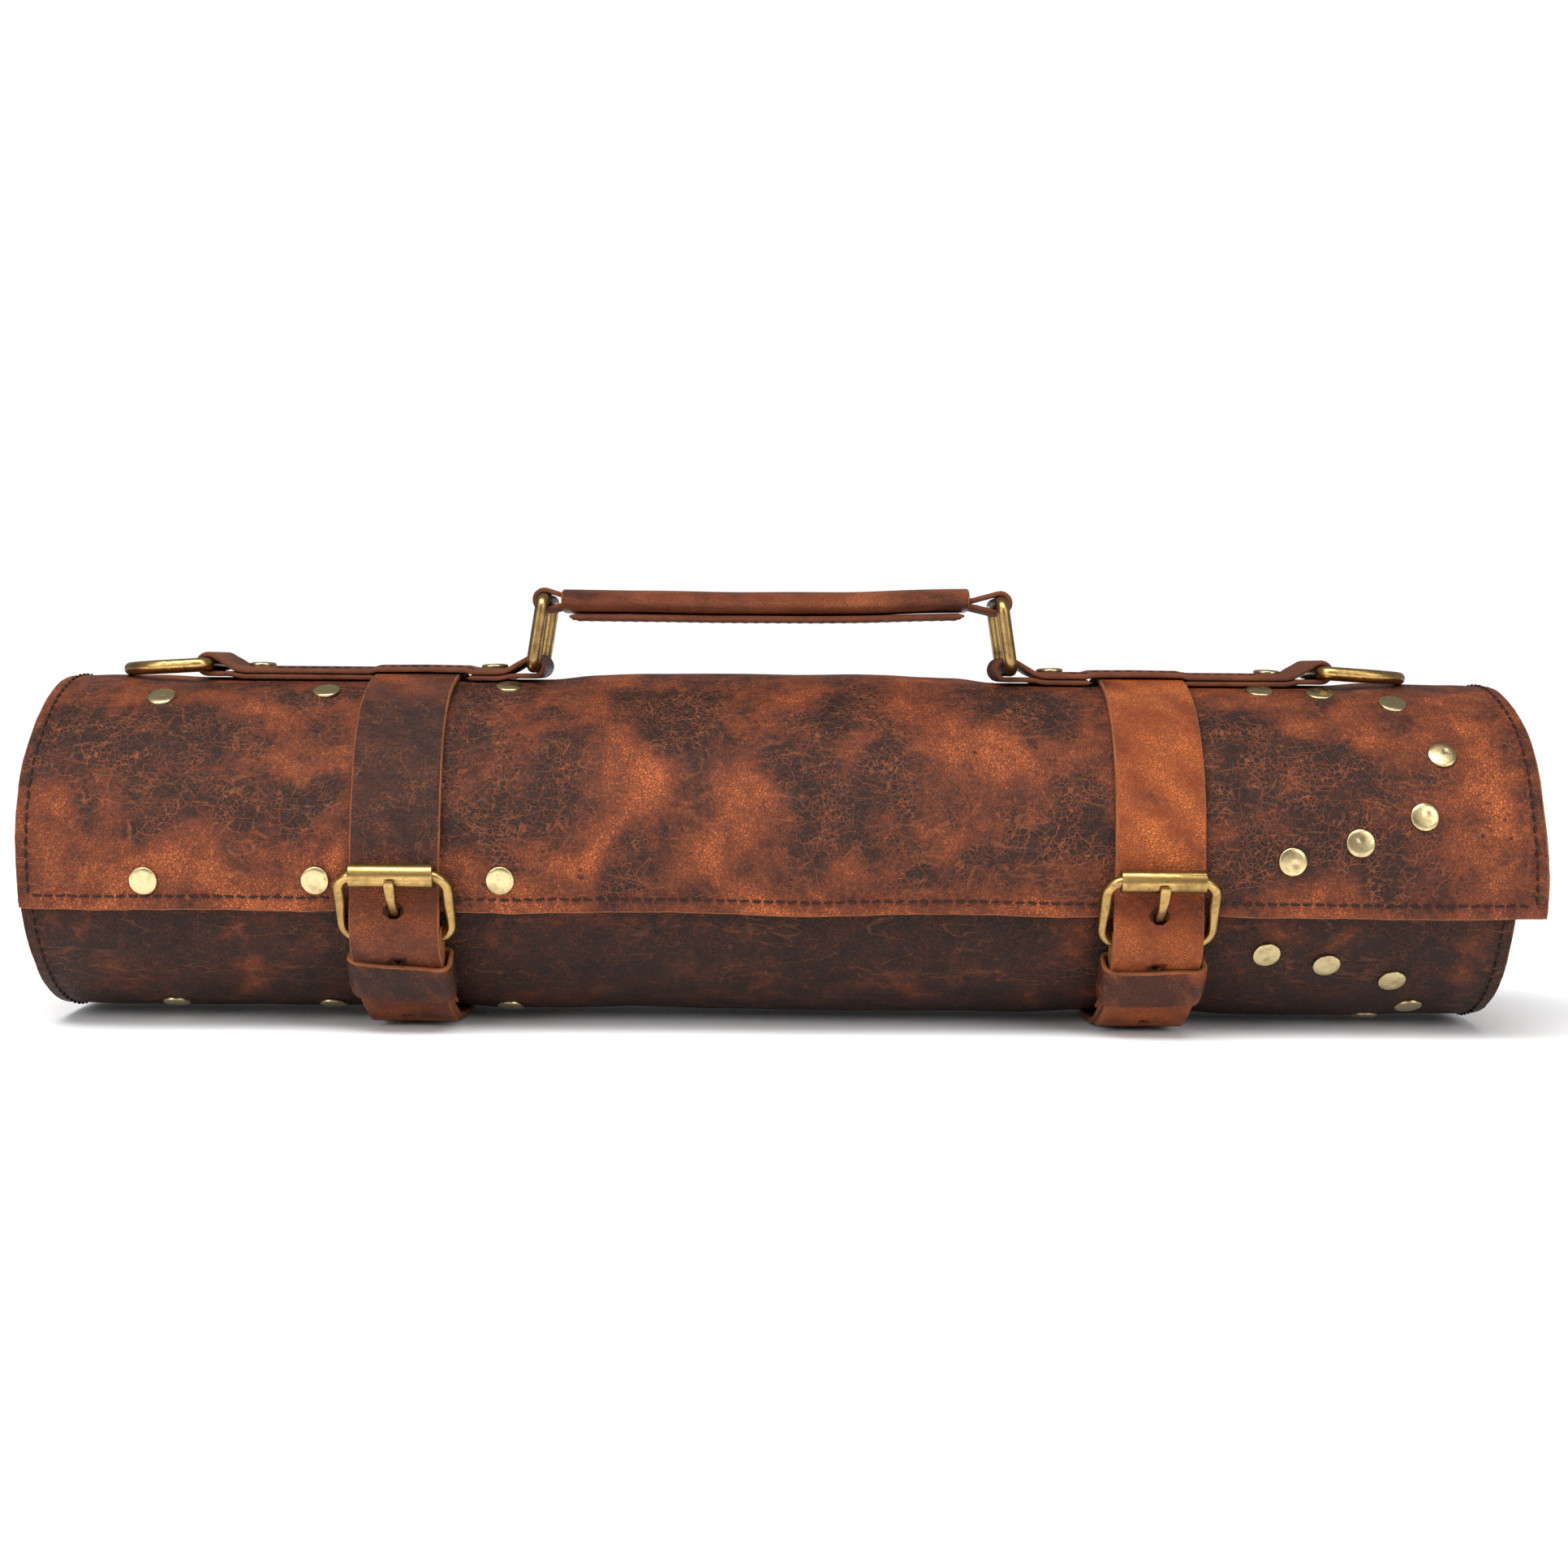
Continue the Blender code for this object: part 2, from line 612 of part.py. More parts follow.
def build_handle(grip_leather, strap_leather):
    path, z = handle_strap_path()
    left = upper_bar("left")
    pivot = (left.x, AXIS_Y, left.y)
    add_object("handle_strap", ribbon_along_y(path, STRAP_T, HANDLE_STRAP_WIDTH), strap_leather, pivot)

    # The grip is a flat oval sleeve stitched round the strap.
    slot_w = HANDLE_STRAP_WIDTH / 2 + GAP
    slot_h = STRAP_T + GAP / 2 + 1.0  # its mouths leave room for the loops to close up
    # A squarer oval than an ellipse, so the sleeve keeps its wall beside the strap.
    outside = [
        Vector((
            copysign(GRIP_WIDTH / 2 * abs(cos(t)) ** 0.4, cos(t)),
            copysign(GRIP_HEIGHT / 2 * abs(sin(t)) ** 0.55, sin(t)),
        ))
        for t in [2 * pi * (k + 0.5) / 20 for k in range(20)]
    ]
    low, high = GRIP_X
    body = swept([[(x, AXIS_Y + p.x, z + p.y) for p in outside] for x in (low, high)])
    grip = add_object("handle_grip", body, grip_leather, pivot)
    slot = box_bm((low - 5, AXIS_Y - slot_w, z - slot_h), (high + 5, AXIS_Y + slot_w, z + slot_h))
    cut(grip, hide_cutter(add_object("grip_slot_cutter", slot, None)))

    # The stitched backing strip closes the sleeve's seam below.
    top = z - GRIP_HEIGHT / 2 - GAP
    backing = box_bm(
        (low + 2.5, AXIS_Y - HANDLE_STRAP_WIDTH / 2, top - BACKING_T),
        (high - 1.5, AXIS_Y + HANDLE_STRAP_WIDTH / 2, top),
    )
    add_object("handle_backing", backing, strap_leather, pivot)


def main():
    for obj in list(bpy.data.objects):
        bpy.data.objects.remove(obj, do_unlink=True)
    leather = material("pull_up_leather", (0.20, 0.060, 0.025), 0.48, 0.0)
    lining = material("lining_leather", (0.32, 0.15, 0.07), 0.8, 0.0)
    pocket = material("pocket_leather", (0.24, 0.10, 0.045), 0.7, 0.0)
    strap_leather = material("strap_leather", (0.24, 0.070, 0.022), 0.42, 0.0)
    grip_leather = material("grip_leather", (0.27, 0.075, 0.030), 0.42, 0.0)
    brass = material("antique_brass", (0.42, 0.27, 0.09), 0.32, 1.0)
    rivet_metal = material("pale_brass", (0.62, 0.52, 0.30), 0.28, 1.0)
    build_roll(leather, lining, pocket, rivet_metal)
    for side, sign in (("left", -1), ("right", 1)):
        build_closing_strap(side, strap_leather, brass)
        build_base_strap(side, sign, strap_leather, brass, rivet_metal)
    build_handle(grip_leather, strap_leather)


main()
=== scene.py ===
"""The looks of the rolled leather brush case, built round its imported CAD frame.

Places and lengths are in millimetres in the frame's axes, and become metres when each mesh is made. X runs
along the roll, the flap and buckles face -Y, and Z is up. Angles round the roll are in degrees from the front
horizontal, positive upwards. A place on the rolled leather is (s, x): s is the spiral angle inwards from the
flap's free edge.
"""
import json
from math import atan2, ceil, copysign, cos, degrees, hypot, pi, radians, sin, sqrt
from random import Random

import bmesh
import bpy
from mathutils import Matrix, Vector, noise


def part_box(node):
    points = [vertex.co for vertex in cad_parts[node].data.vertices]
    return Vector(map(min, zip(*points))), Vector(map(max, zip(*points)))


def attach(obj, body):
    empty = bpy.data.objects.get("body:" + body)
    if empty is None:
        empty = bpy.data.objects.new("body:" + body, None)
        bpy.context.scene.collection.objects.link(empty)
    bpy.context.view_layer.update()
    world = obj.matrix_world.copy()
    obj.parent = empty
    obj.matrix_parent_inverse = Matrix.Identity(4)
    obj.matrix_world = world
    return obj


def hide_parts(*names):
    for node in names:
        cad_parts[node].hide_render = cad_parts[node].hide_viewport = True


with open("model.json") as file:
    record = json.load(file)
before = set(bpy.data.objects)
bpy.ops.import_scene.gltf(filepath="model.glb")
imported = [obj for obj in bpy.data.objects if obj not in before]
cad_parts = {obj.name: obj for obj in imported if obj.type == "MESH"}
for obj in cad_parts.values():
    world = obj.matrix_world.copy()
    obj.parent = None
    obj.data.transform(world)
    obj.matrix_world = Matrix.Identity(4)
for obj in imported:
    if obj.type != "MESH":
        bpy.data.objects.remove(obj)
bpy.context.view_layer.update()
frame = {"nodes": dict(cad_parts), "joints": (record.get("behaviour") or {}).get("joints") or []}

MM = 0.001
SIDES = {"left": -1, "right": 1}
RIGHT, BACK, UP = Vector((1, 0, 0)), Vector((0, 1, 0)), Vector((0, 0, 1))


def joint_place(name):
    """Where a joint of the record lies, in millimetres."""
    found = next(joint for joint in frame["joints"] if joint["name"] == name)
    return Vector(found["pos_m"]) / MM


def at_middle(name):
    """Where a joint that turns about X lies, moved to the middle of the roll."""
    place = joint_place(name)
    return Vector((0, place.y, place.z))


def node_box(name):
    low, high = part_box(name)
    return low / MM, high / MM


# ---------------- driving dimensions

AXIS = joint_place("keeper_left_slide")  # its Y and Z are the roll's axis
BELT_X = {side: joint_place(f"keeper_{side}_slide").x for side in SIDES}
BELT_WIDTH = node_box("closing_strap_left")[1].x - node_box("closing_strap_left")[0].x
BELT_T = 2.2
GAP = 0.3

HALF_LENGTH = 230
FLAP_RADIUS, FLAP_ANGLE = 55.6, -16
FIRST_TURN_PITCH, INNER_CURL = 4.5, 13
CURL_FROM = 330
PANEL_T, LINING_T, POCKET_T = 1.8, 1.2, 1.4
PANEL_END = 830
POCKET_START, POCKET_END = 420, 800
POCKET_INSET = 16
LINING_START, LINING_INSET, LINING_PROUD = 0.8, 0.8, 1  # its right edge stands out past the case's
FULL_SKEW = 344  # spiral angle by which the inner layer's sideways shift is complete
LEFT_SKEW, RIGHT_SKEW = -1, -7
MEAN_RADIUS = 54  # turns spiral angle into length along the unrolled leather

STRAP_T = 1.6
RING_WIRE = 2.05
HANDLE_BAR = {"left": joint_place("handle_swing")}
HANDLE_BAR["right"] = Vector((72.3, AXIS.y, HANDLE_BAR["left"].z))  # the open pivot, which has no joint
UPPER_BAR = {"left": joint_place("handle_on_left_ring"), "right": joint_place("right_ring_on_handle")}
D_BAR = {side: joint_place(f"d_ring_{side}_flip") for side in SIDES}


def smooth(t):
    t = min(1, max(0, t))
    return t * t * (3 - 2 * t)


def window(value, centre, half, fade):
    """1 within half of the centre, falling smoothly to 0 over the next fade."""
    return 1 - smooth((abs(value - centre) - half) / fade)


def wander(x, y=0, z=0, size=1):
    """Smooth noise about -1 to 1 whose bumps are about this size, in millimetres."""
    return noise.noise(Vector((x / size + 7.3, y / size + 3.1, z / size + 1.7)))


def polar(r, angle, x=0):
    return Vector((x, AXIS.y - r * cos(radians(angle)), AXIS.z + r * sin(radians(angle))))


def angle_of(place):
    """The angle round the roll at which a place lies."""
    return degrees(atan2(place.z - AXIS.z, AXIS.y - place.y))


def arc_at(s):
    """Length along the unrolled leather at this spiral angle."""
    return radians(s) * MEAN_RADIUS


def panel_radius(s):
    later = max(0, (s - CURL_FROM) / (PANEL_END - CURL_FROM))
    return FLAP_RADIUS - FIRST_TURN_PITCH * s / 360 - INNER_CURL * later**1.6


UNDER_R = panel_radius(340)
ROLL_TOP = panel_radius(90 - FLAP_ANGLE)


# ---------------- mesh helpers

INNER_FACE = 40  # third coordinate of the leather pattern on a sheet's inner face
RAW_STRIPS = 2  # strips of an edge's rounding that show the cut edge


def link_object(name, data):
    obj = bpy.data.objects.new(name, data)
    bpy.context.scene.collection.objects.link(obj)
    return obj


def make_object(name, points, faces, materials, slots=None, flat=None, mottle=None, sharp=40):
    """An object from points in millimetres. Leather has slots, flat (each point's place on the unrolled
    leather) and mottle (how light it is there)."""
    mesh = bpy.data.meshes.new(name)
    mesh.from_pydata([p * MM for p in points], [], faces)
    for mat in materials:
        mesh.materials.append(mat)
    if slots:
        mesh.polygons.foreach_set("material_index", slots)
        layer = mesh.attributes.new("leather_at", "FLOAT_VECTOR", "POINT")
        layer.data.foreach_set("vector", [value for place in flat for value in place])
        layer = mesh.attributes.new("mottle", "FLOAT", "POINT")
        layer.data.foreach_set("value", mottle)
    bm = bmesh.new()
    bm.from_mesh(mesh)
    bmesh.ops.recalc_face_normals(bm, faces=bm.faces)
    if bm.calc_volume(signed=True) < 0:
        bmesh.ops.reverse_faces(bm, faces=bm.faces)
    bm.to_mesh(mesh)
    bm.free()
    mesh.shade_smooth()
    mesh.set_sharp_from_angle(angle=radians(sharp))
    return link_object(name, mesh)


def place_piece(obj, body, slot, *nodes):
    """Rides obj on a body and lets it stand for the CAD nodes, which it hides. The slot is not used."""
    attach(obj, body)
    if nodes:
        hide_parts(*nodes)
    return obj


def solid_sheet(name, rows, materials, mottle, closed=False):
    """A closed sheet of leather. Each row is a list of (outer point, inner point, flat place).

    The outer face takes the first material, and the inner face and the cut edges take the second."""
    count, width = len(rows), len(rows[0])
    entries = [entry for row in rows for entry in row]
    points = [outer for outer, _, _ in entries] + [inner for _, inner, _ in entries]
    flat = [(*place, layer) for layer in (0, INNER_FACE) for _, _, place in entries]
    tone = [mottle(*place) for _, _, place in entries] * 2
    under = count * width
    faces, slots = [], []

    def quad(a, b, c, d, slot):
        faces.append((a, b, c, d))
        slots.append(slot)

    for i in range(count if closed else count - 1):
        j = (i + 1) % count
        cut_end = not closed and (i < RAW_STRIPS or i >= count - 1 - RAW_STRIPS)
        for k in range(width - 1):
            a, d = i * width + k, j * width + k
            quad(a, a + 1, d + 1, d, int(cut_end or k < RAW_STRIPS or k >= width - 1 - RAW_STRIPS))
            quad(under + d, under + d + 1, under + a + 1, under + a, 1)
        for k in (0, width - 1):
            a, d = i * width + k, j * width + k
            quad(a, d, under + d, under + a, 1)
    if not closed:
        for i in (0, count - 1):
            for k in range(width - 1):
                a = i * width + k
                quad(a + 1, a, under + a, under + a + 1, 1)
    return make_object(name, points, faces, materials, slots, flat, tone)


def edge_stations(length, pitch):
    """Distances along a cut length, close together at both ends, where the edge is rounded."""
    near = [0, 0.12, 0.4, 0.9, 1.8]
    count = max(1, ceil((length - 2 * near[-1]) / pitch))
    middle = [near[-1] + (length - 2 * near[-1]) * i / count for i in range(1, count)]
    return near + middle + [length - d for d in reversed(near)]


def edge_drop(distance, radius=0.42):
    """How far the face of a cut edge's rounding lies below the flat face."""
    if distance >= radius:
        return 0
    return radius - sqrt(radius**2 - (radius - distance) ** 2)


def fray(place, t, amount):
    """Moves a point on a cut edge by a hair, for a fibrous edge."""
    drift = [noise.noise(Vector((place.x, t, layer)) * 0.9) for layer in (3.7, 8.2, 12.9)]
    return place + amount * Vector(drift)


def spline(points, pitch, closed=False, straight=None):
    """A smooth curve through the points (Catmull-Rom), resampled to an even pitch.

    straight is the longest span to leave between points, for outlines of straight stretches and arcs."""
    if straight:
        ends = points + points[:1] if closed else points
        points = []
        for a, b in zip(ends, ends[1:]):
            number = max(1, ceil((b - a).length / straight))
            points += [a.lerp(b, k / number) for k in range(number)]
        if not closed:
            points.append(ends[-1])
    count = len(points)
    dense = []
    for i in range(count if closed else count - 1):
        p1, p2 = points[i], points[(i + 1) % count]
        p0 = points[i - 1] if closed or i > 0 else p1 * 2 - p2
        p3 = points[(i + 2) % count] if closed or i + 2 < count else p2 * 2 - p1
        steps = max(2, ceil((p2 - p1).length / (pitch * 0.25)))
        for k in range(steps):
            t = k / steps
            dense.append(0.5 * (
                2 * p1 + (p2 - p0) * t + (2 * p0 - 5 * p1 + 4 * p2 - p3) * t * t
                + (3 * p1 - p0 - 3 * p2 + p3) * t**3
            ))
    dense.append(points[0] if closed else points[-1])
    total = sum((b - a).length for a, b in zip(dense, dense[1:]))
    number = max(3, round(total / pitch))
    even, travelled, target = [dense[0]], 0, total / number
    for a, b in zip(dense, dense[1:]):
        step = (b - a).length
        while travelled + step >= target - 1e-9 and len(even) < number:
            even.append(a.lerp(b, (target - travelled) / step if step else 0))
            target += total / number
        travelled += step
    return even if closed else even + [dense[-1]]


def tangents(path, closed=False):
    count = len(path)
    found = []
    for i in range(count):
        before = path[i - 1] if closed or i > 0 else path[i]
        after = path[(i + 1) % count] if closed or i + 1 < count else path[i]
        found.append((after - before).normalized())
    return found


def circle(centre, across, up, radius, count):
    """Points round a circle in the plane of two unit vectors."""
    turns = [2 * pi * k / count for k in range(count)]
    return [centre + radius * (across * cos(t) + up * sin(t)) for t in turns]


def squircle(turn, power_u=0.55, power_v=0.55):
    """A point (u, v) on a unit circle that is swollen towards a square."""
    u, v = cos(turn), sin(turn)
    return copysign(abs(u) ** power_u, u), copysign(abs(v) ** power_v, v)


def skin_rings(name, rings, material, closed=False, sharp=40):
    """A body through rings of points, closed on itself or capped by a point at each end."""
    sides, count = len(rings[0]), len(rings)
    points = [p for ring in rings for p in ring]
    faces = []
    for i in range(count if closed else count - 1):
        a, b = i * sides, ((i + 1) % count) * sides
        for k in range(sides):
            j = (k + 1) % sides
            faces.append((a + k, a + j, b + j, b + k))
    if not closed:
        for start, order in ((0, -1), ((count - 1) * sides, 1)):
            points.append(sum((points[start + k] for k in range(sides)), Vector()) / sides)
            tip = len(points) - 1
            faces += [(start + k, start + (k + 1) % sides, tip)[::order] for k in range(sides)]
    return make_object(name, points, faces, [material], sharp=sharp)


def arc(centre, radius, start, end, steps):
    """Points (u, v) of a circular arc, angles in degrees."""
    turn = [radians(start + (end - start) * i / steps) for i in range(steps + 1)]
    return [(centre[0] + radius * cos(t), centre[1] + radius * sin(t)) for t in turn]


def rounded_rectangle(width, height, corners, steps=8):
    """Outline (u, v) about the origin, counter-clockwise from the upper right; corners gives four radii."""
    points = []
    for quarter, (sx, sy) in enumerate(((1, 1), (-1, 1), (-1, -1), (1, -1))):
        r = corners[quarter]
        centre = (sx * (width / 2 - r), sy * (height / 2 - r))
        points += arc(centre, r, 90 * quarter, 90 * quarter + 90, steps)
    return points


def wire_loop(node, body, centre, across, up, outline, pitch, straight, radius, material, sides):
    """A closed loop of round wire for a CAD node. Its outline (u, v) lies in the plane of across and up."""
    path = spline([centre + across * u + up * v for u, v in outline], pitch, closed=True, straight=straight)
    directions = tangents(path, closed=True)
    side = directions[0].orthogonal().normalized()
    rings = []
    for place, along in zip(path, directions):
        side = (side - along * side.dot(along)).normalized()
        rings.append(circle(place, side, along.cross(side), radius, sides))
    wire = skin_rings(f"wire_{node}", rings, material, closed=True)
    place_piece(wire, body, "antique_brass", node)


# ---------------- materials

class Graph:
    """Short calls that add nodes to one material and link them."""

    def __init__(self, name):
        self.material = bpy.data.materials.new(name)
        self.material.use_nodes = True
        self.tree = self.material.node_tree
        self.tree.nodes.clear()
        self.shader = self.tree.nodes.new("ShaderNodeBsdfPrincipled")
        output = self.tree.nodes.new("ShaderNodeOutputMaterial")
        self.tree.links.new(self.shader.outputs[0], output.inputs["Surface"])

    def node(self, kind, inputs=(), **settings):
        made = self.tree.nodes.new("ShaderNode" + kind)
        for key, value in settings.items():
            setattr(made, key, value)
        for key, value in dict(inputs).items():
            self.set(made.inputs[key], value)
        return made

    def set(self, socket, value):
        if isinstance(value, bpy.types.NodeSocket):
            self.tree.links.new(value, socket)
        else:
            socket.default_value = value

    def math(self, operation, a, b=0, c=0):
        return self.node("Math", {0: a, 1: b, 2: c}, operation=operation).outputs[0]

    def times(self, a, b):
        return self.math("MULTIPLY", a, b)

    def times_plus(self, a, b, c):
        return self.math("MULTIPLY_ADD", a, b, c)

    def remap(self, value, low, high, to_low, to_high, **settings):
        limits = {"From Min": low, "From Max": high, "To Min": to_low, "To Max": to_high}
        return self.node("MapRange", {"Value": value, **limits}, **settings).outputs[0]

    def near(self, value, low, high):
        """1 where value is under low, falling smoothly to 0 at high."""
        return self.remap(value, low, high, 1, 0, interpolation_type="SMOOTHSTEP")

    def mapped(self, at, scale, rotation=(0, 0, 0)):
        return self.node("Mapping", {"Vector": at, "Scale": scale, "Rotation": rotation}).outputs[0]

    def object_place(self):
        return self.node("TexCoord").outputs["Object"]

    def warp(self, at, scale, reach):
        """The coordinates, pushed about by up to half of reach."""
        drift = self.noise(at, scale, 2, 0.5, colour=True)
        drift = self.node("VectorMath", {0: drift, 1: (0.5, 0.5, 0.5)}, operation="SUBTRACT").outputs[0]
        inputs = {0: drift, 1: (reach, reach, 0), 2: at}
        return self.node("VectorMath", inputs, operation="MULTIPLY_ADD").outputs[0]

    def noise(self, at, scale, detail=3, roughness=0.55, distortion=0, colour=False):
        made = self.node("TexNoise", {
            "Vector": at, "Scale": scale, "Detail": detail, "Roughness": roughness, "Distortion": distortion,
        })
        return made.outputs["Color" if colour else "Fac"]

    def cells(self, at, scale, feature="F1"):
        return self.node("TexVoronoi", {"Vector": at, "Scale": scale}, feature=feature).outputs["Distance"]

    def ramp(self, value, *stops):
        made = self.node("ValToRGB", {"Fac": value})
        elements = made.color_ramp.elements
        while len(elements) < len(stops):
            elements.new(0.5)
        for element, (place, colour) in zip(elements, stops):
            element.position = place
            element.color = (*colour, 1)
        return made.outputs["Color"]

    def mix(self, factor, below, colour):
        """The colour laid over what is below it."""
        made = self.node("Mix", data_type="RGBA", blend_type="MIX")
        for key, value in ((0, factor), (6, below), (7, (*colour, 1))):
            self.set(made.inputs[key], value)
        return made.outputs[2]

    def bump(self, height, strength, distance):
        made = self.node("Bump", {"Height": height, "Strength": strength, "Distance": distance})
        self.set(self.shader.inputs["Normal"], made.outputs[0])

    def finish(self, colour, roughness, **values):
        self.set(self.shader.inputs["Base Color"], colour)
        self.set(self.shader.inputs["Roughness"], roughness)
        for key, value in values.items():
            self.shader.inputs[key.replace("_", " ")].default_value = value
        return self.material


# Where the case turns darker with painted shade and has fewer cracks, as length along the unrolled leather.
UNDER_LAYER_FROM, UNDER_LAYER_FADE = arc_at(265), 30
GAP_COLOUR = (0.05, 0.015, 0.0075)
CREASE_COLOUR = (0.33, 0.105, 0.036)
PIT_COLOUR = (0.022, 0.011, 0.009)


def pull_up_leather(
    name, tones, crack=0.8, wide_crack=0.6, pits=0.8, creases=0.35, stretch=(1, 1),
    line=(0.3, 0.078, 0.027), roughness=0.44, grain=1, patches=1.15, crack_scale=1,
):
    """Waxed pull-up leather: soft dark and orange patches, fine light cracks, pores and creases."""
    g = Graph(name)
    place = g.node("Attribute", attribute_name="leather_at").outputs["Vector"]
    tone = g.node("Attribute", attribute_name="mottle").outputs["Fac"]
    stretched = g.mapped(place, (*stretch, 1))
    warped = g.warp(stretched, 0.45, 1.1)
    swirled = g.warp(stretched, 0.055, 9)

    # Tone: the patch map, which on the case also holds the under-layer's painted shade, broken up at two
    # smaller sizes.
    clouds = g.times_plus(g.noise(swirled, 0.11, 5, 0.68), patches, -patches / 2)
    specks = g.times_plus(g.noise(stretched, 0.7, 4, 0.7), 0.56, -0.28)
    tone = g.math("ADD", g.math("ADD", tone, clouds), specks)
    base = g.ramp(tone, *tones)
    darkness = g.near(tone, 0.3, 0.74)

    # Cracks: two sizes of cell edge, light over dark patches and fewest on the under-layer.
    fine_edge = g.cells(warped, 0.62 * crack_scale, "DISTANCE_TO_EDGE")
    wide_edge = g.cells(g.warp(swirled, 0.5, 1.6), 0.17, "DISTANCE_TO_EDGE")
    presence = g.near(g.noise(stretched, 0.1, 3, 0.6), 0.6, 0.4)
    fine = g.times(g.near(fine_edge, 0.01, 0.095), crack)
    wide = g.times(g.near(wide_edge, 0.004, 0.024), wide_crack)
    lines = g.math("MAXIMUM", g.times(fine, g.times_plus(presence, 0.88, 0.12)), wide)
    light_lines = g.times(lines, g.times_plus(darkness, 0.46, 0.1))
    along = g.node("SeparateXYZ", {"Vector": place}).outputs["Y"]
    on_flap = g.near(along, UNDER_LAYER_FROM, UNDER_LAYER_FROM + UNDER_LAYER_FADE)
    light_lines = g.times(light_lines, g.times_plus(on_flap, 0.6, 0.4))

    # Pebbles: dark gaps between them, strongest over light patches.
    pebble_gap = g.near(g.cells(warped, 1.08 * grain, "DISTANCE_TO_EDGE"), 0.02, 0.24)
    dark_lines = g.times(pebble_gap, g.times_plus(darkness, -0.4, 0.72))
    colour = g.mix(dark_lines, base, GAP_COLOUR)
    colour = g.mix(light_lines, colour, line)

    # Creases: long thin ridges that have lightened where the leather was pulled.
    ridge = g.noise(g.mapped(stretched, (0.3, 1, 1), (0, 0, 0.6)), 0.09, 3, 0.55, 0.5)
    ridge = g.near(g.math("ABSOLUTE", g.math("SUBTRACT", ridge, 0.5)), 0, 0.012)
    where = g.near(g.noise(place, 0.022, 2, 0.5), 0.46, 0.38)
    ridge = g.times(ridge, g.times(where, creases))
    colour = g.mix(g.times(ridge, 0.5), colour, CREASE_COLOUR)

    # Pores: scattered dark pits.
    pit_cells = g.node("TexVoronoi", {"Vector": warped, "Scale": 0.24})
    cell_value = g.node("SeparateColor", {"Color": pit_cells.outputs["Color"]}).outputs[0]
    pit = g.times(g.near(pit_cells.outputs["Distance"], 0.11, 0.2), g.near(cell_value, 0.34, 0.3))
    pit = g.times(pit, g.times(g.near(g.noise(place, 0.03, 2), 0.58, 0.46), pits))
    colour = g.mix(pit, colour, PIT_COLOUR)

    pebble = g.cells(stretched, 2.6 * grain, "SMOOTH_F1")
    height = g.times_plus(fine, -0.55, g.times(pebble, 0.55))
    for part, share in ((pebble_gap, -0.35), (wide, -0.5), (pit, -0.7), (ridge, 0.6)):
        height = g.times_plus(part, share, height)
    height = g.times_plus(g.noise(stretched, 0.35, 3), 1.1, height)
    g.bump(height, 0.9, 0.0004)
    rough = g.times_plus(g.noise(place, 0.12, 3), 0.24, roughness - 0.12)
    return g.finish(colour, g.times_plus(lines, 0.16, rough), Specular_IOR_Level=0.14)


def raw_edge(name, colour, dark):
    """The cut edge and flesh side: matt, fibrous, and lighter than the grain side."""
    g = Graph(name)
    place = g.object_place()
    fibres = g.noise(place, 2600, 4, 0.75)
    clouds = g.noise(place, 120, 3, 0.6)
    value = g.times_plus(fibres, 0.6, g.times(clouds, 0.5))
    g.bump(fibres, 0.9, 0.0004)
    return g.finish(g.ramp(value, (0.3, dark), (0.75, colour)), 0.9, Specular_IOR_Level=0.2)


def aged_metal(name, bright, patina, roughness, wear=0.5, grain=1):
    """Brass with a brown patina that is rubbed bright in patches, fine scratches and small spots."""
    g = Graph(name)
    place = g.object_place()
    clouds = g.noise(place, 170 * grain, 5, 0.65)
    scratches = g.noise(g.mapped(place, (1, 8, 8)), 420, 4, 0.7)
    spots = g.near(g.cells(place, 620), 0.05, 0.16)
    value = g.times_plus(scratches, 0.35, clouds)
    value = g.math("SUBTRACT", value, g.times(spots, 0.35))
    colour = g.ramp(value, (wear - 0.12, patina), (wear + 0.22, bright))
    rough = g.remap(value, wear - 0.1, wear + 0.3, roughness + 0.16, roughness)
    g.bump(g.times_plus(scratches, 0.5, clouds), 0.25, 0.00012)
    return g.finish(colour, rough, Metallic=1)


def thread_material():
    g = Graph("waxed_thread")
    twist = g.node("TexWave", {"Vector": g.object_place(), "Scale": 900, "Distortion": 1.5}).outputs["Fac"]
    g.bump(twist, 0.6, 0.0002)
    colour = g.ramp(twist, (0.2, (0.005, 0.003, 0.003)), (0.9, (0.03, 0.012, 0.009)))
    return g.finish(colour, 0.6, Specular_IOR_Level=0.2)


leather = pull_up_leather(
    "case_leather",
    (
        (0.1, (0.009, 0.0055, 0.0052)),
        (0.32, (0.0165, 0.008, 0.0066)),
        (0.48, (0.06, 0.0155, 0.0084)),
        (0.68, (0.17, 0.0395, 0.0135)),
        (0.98, (0.36, 0.088, 0.0255)),
    ),
)
belt_leather = {
    "left": pull_up_leather(
        "dark_strap_leather",
        ((0.15, (0.016, 0.008, 0.007)), (0.5, (0.068, 0.018, 0.0095)), (0.9, (0.25, 0.06, 0.0185))),
        crack=0.6, wide_crack=0.15, pits=0.1, creases=0.3, stretch=(1.35, 0.72), roughness=0.38, grain=1.1,
        crack_scale=1.5, line=(0.27, 0.074, 0.026), patches=0.9,
    ),
    "right": pull_up_leather(
        "orange_strap_leather",
        ((0.1, (0.04, 0.011, 0.006)), (0.45, (0.185, 0.036, 0.009)), (0.9, (0.44, 0.108, 0.022))),
        crack=0.35, wide_crack=0.05, pits=0.1, creases=0.3, stretch=(1.3, 0.85), roughness=0.34, grain=1.2,
        crack_scale=1.5, line=(0.42, 0.12, 0.03), patches=1,
    ),
}
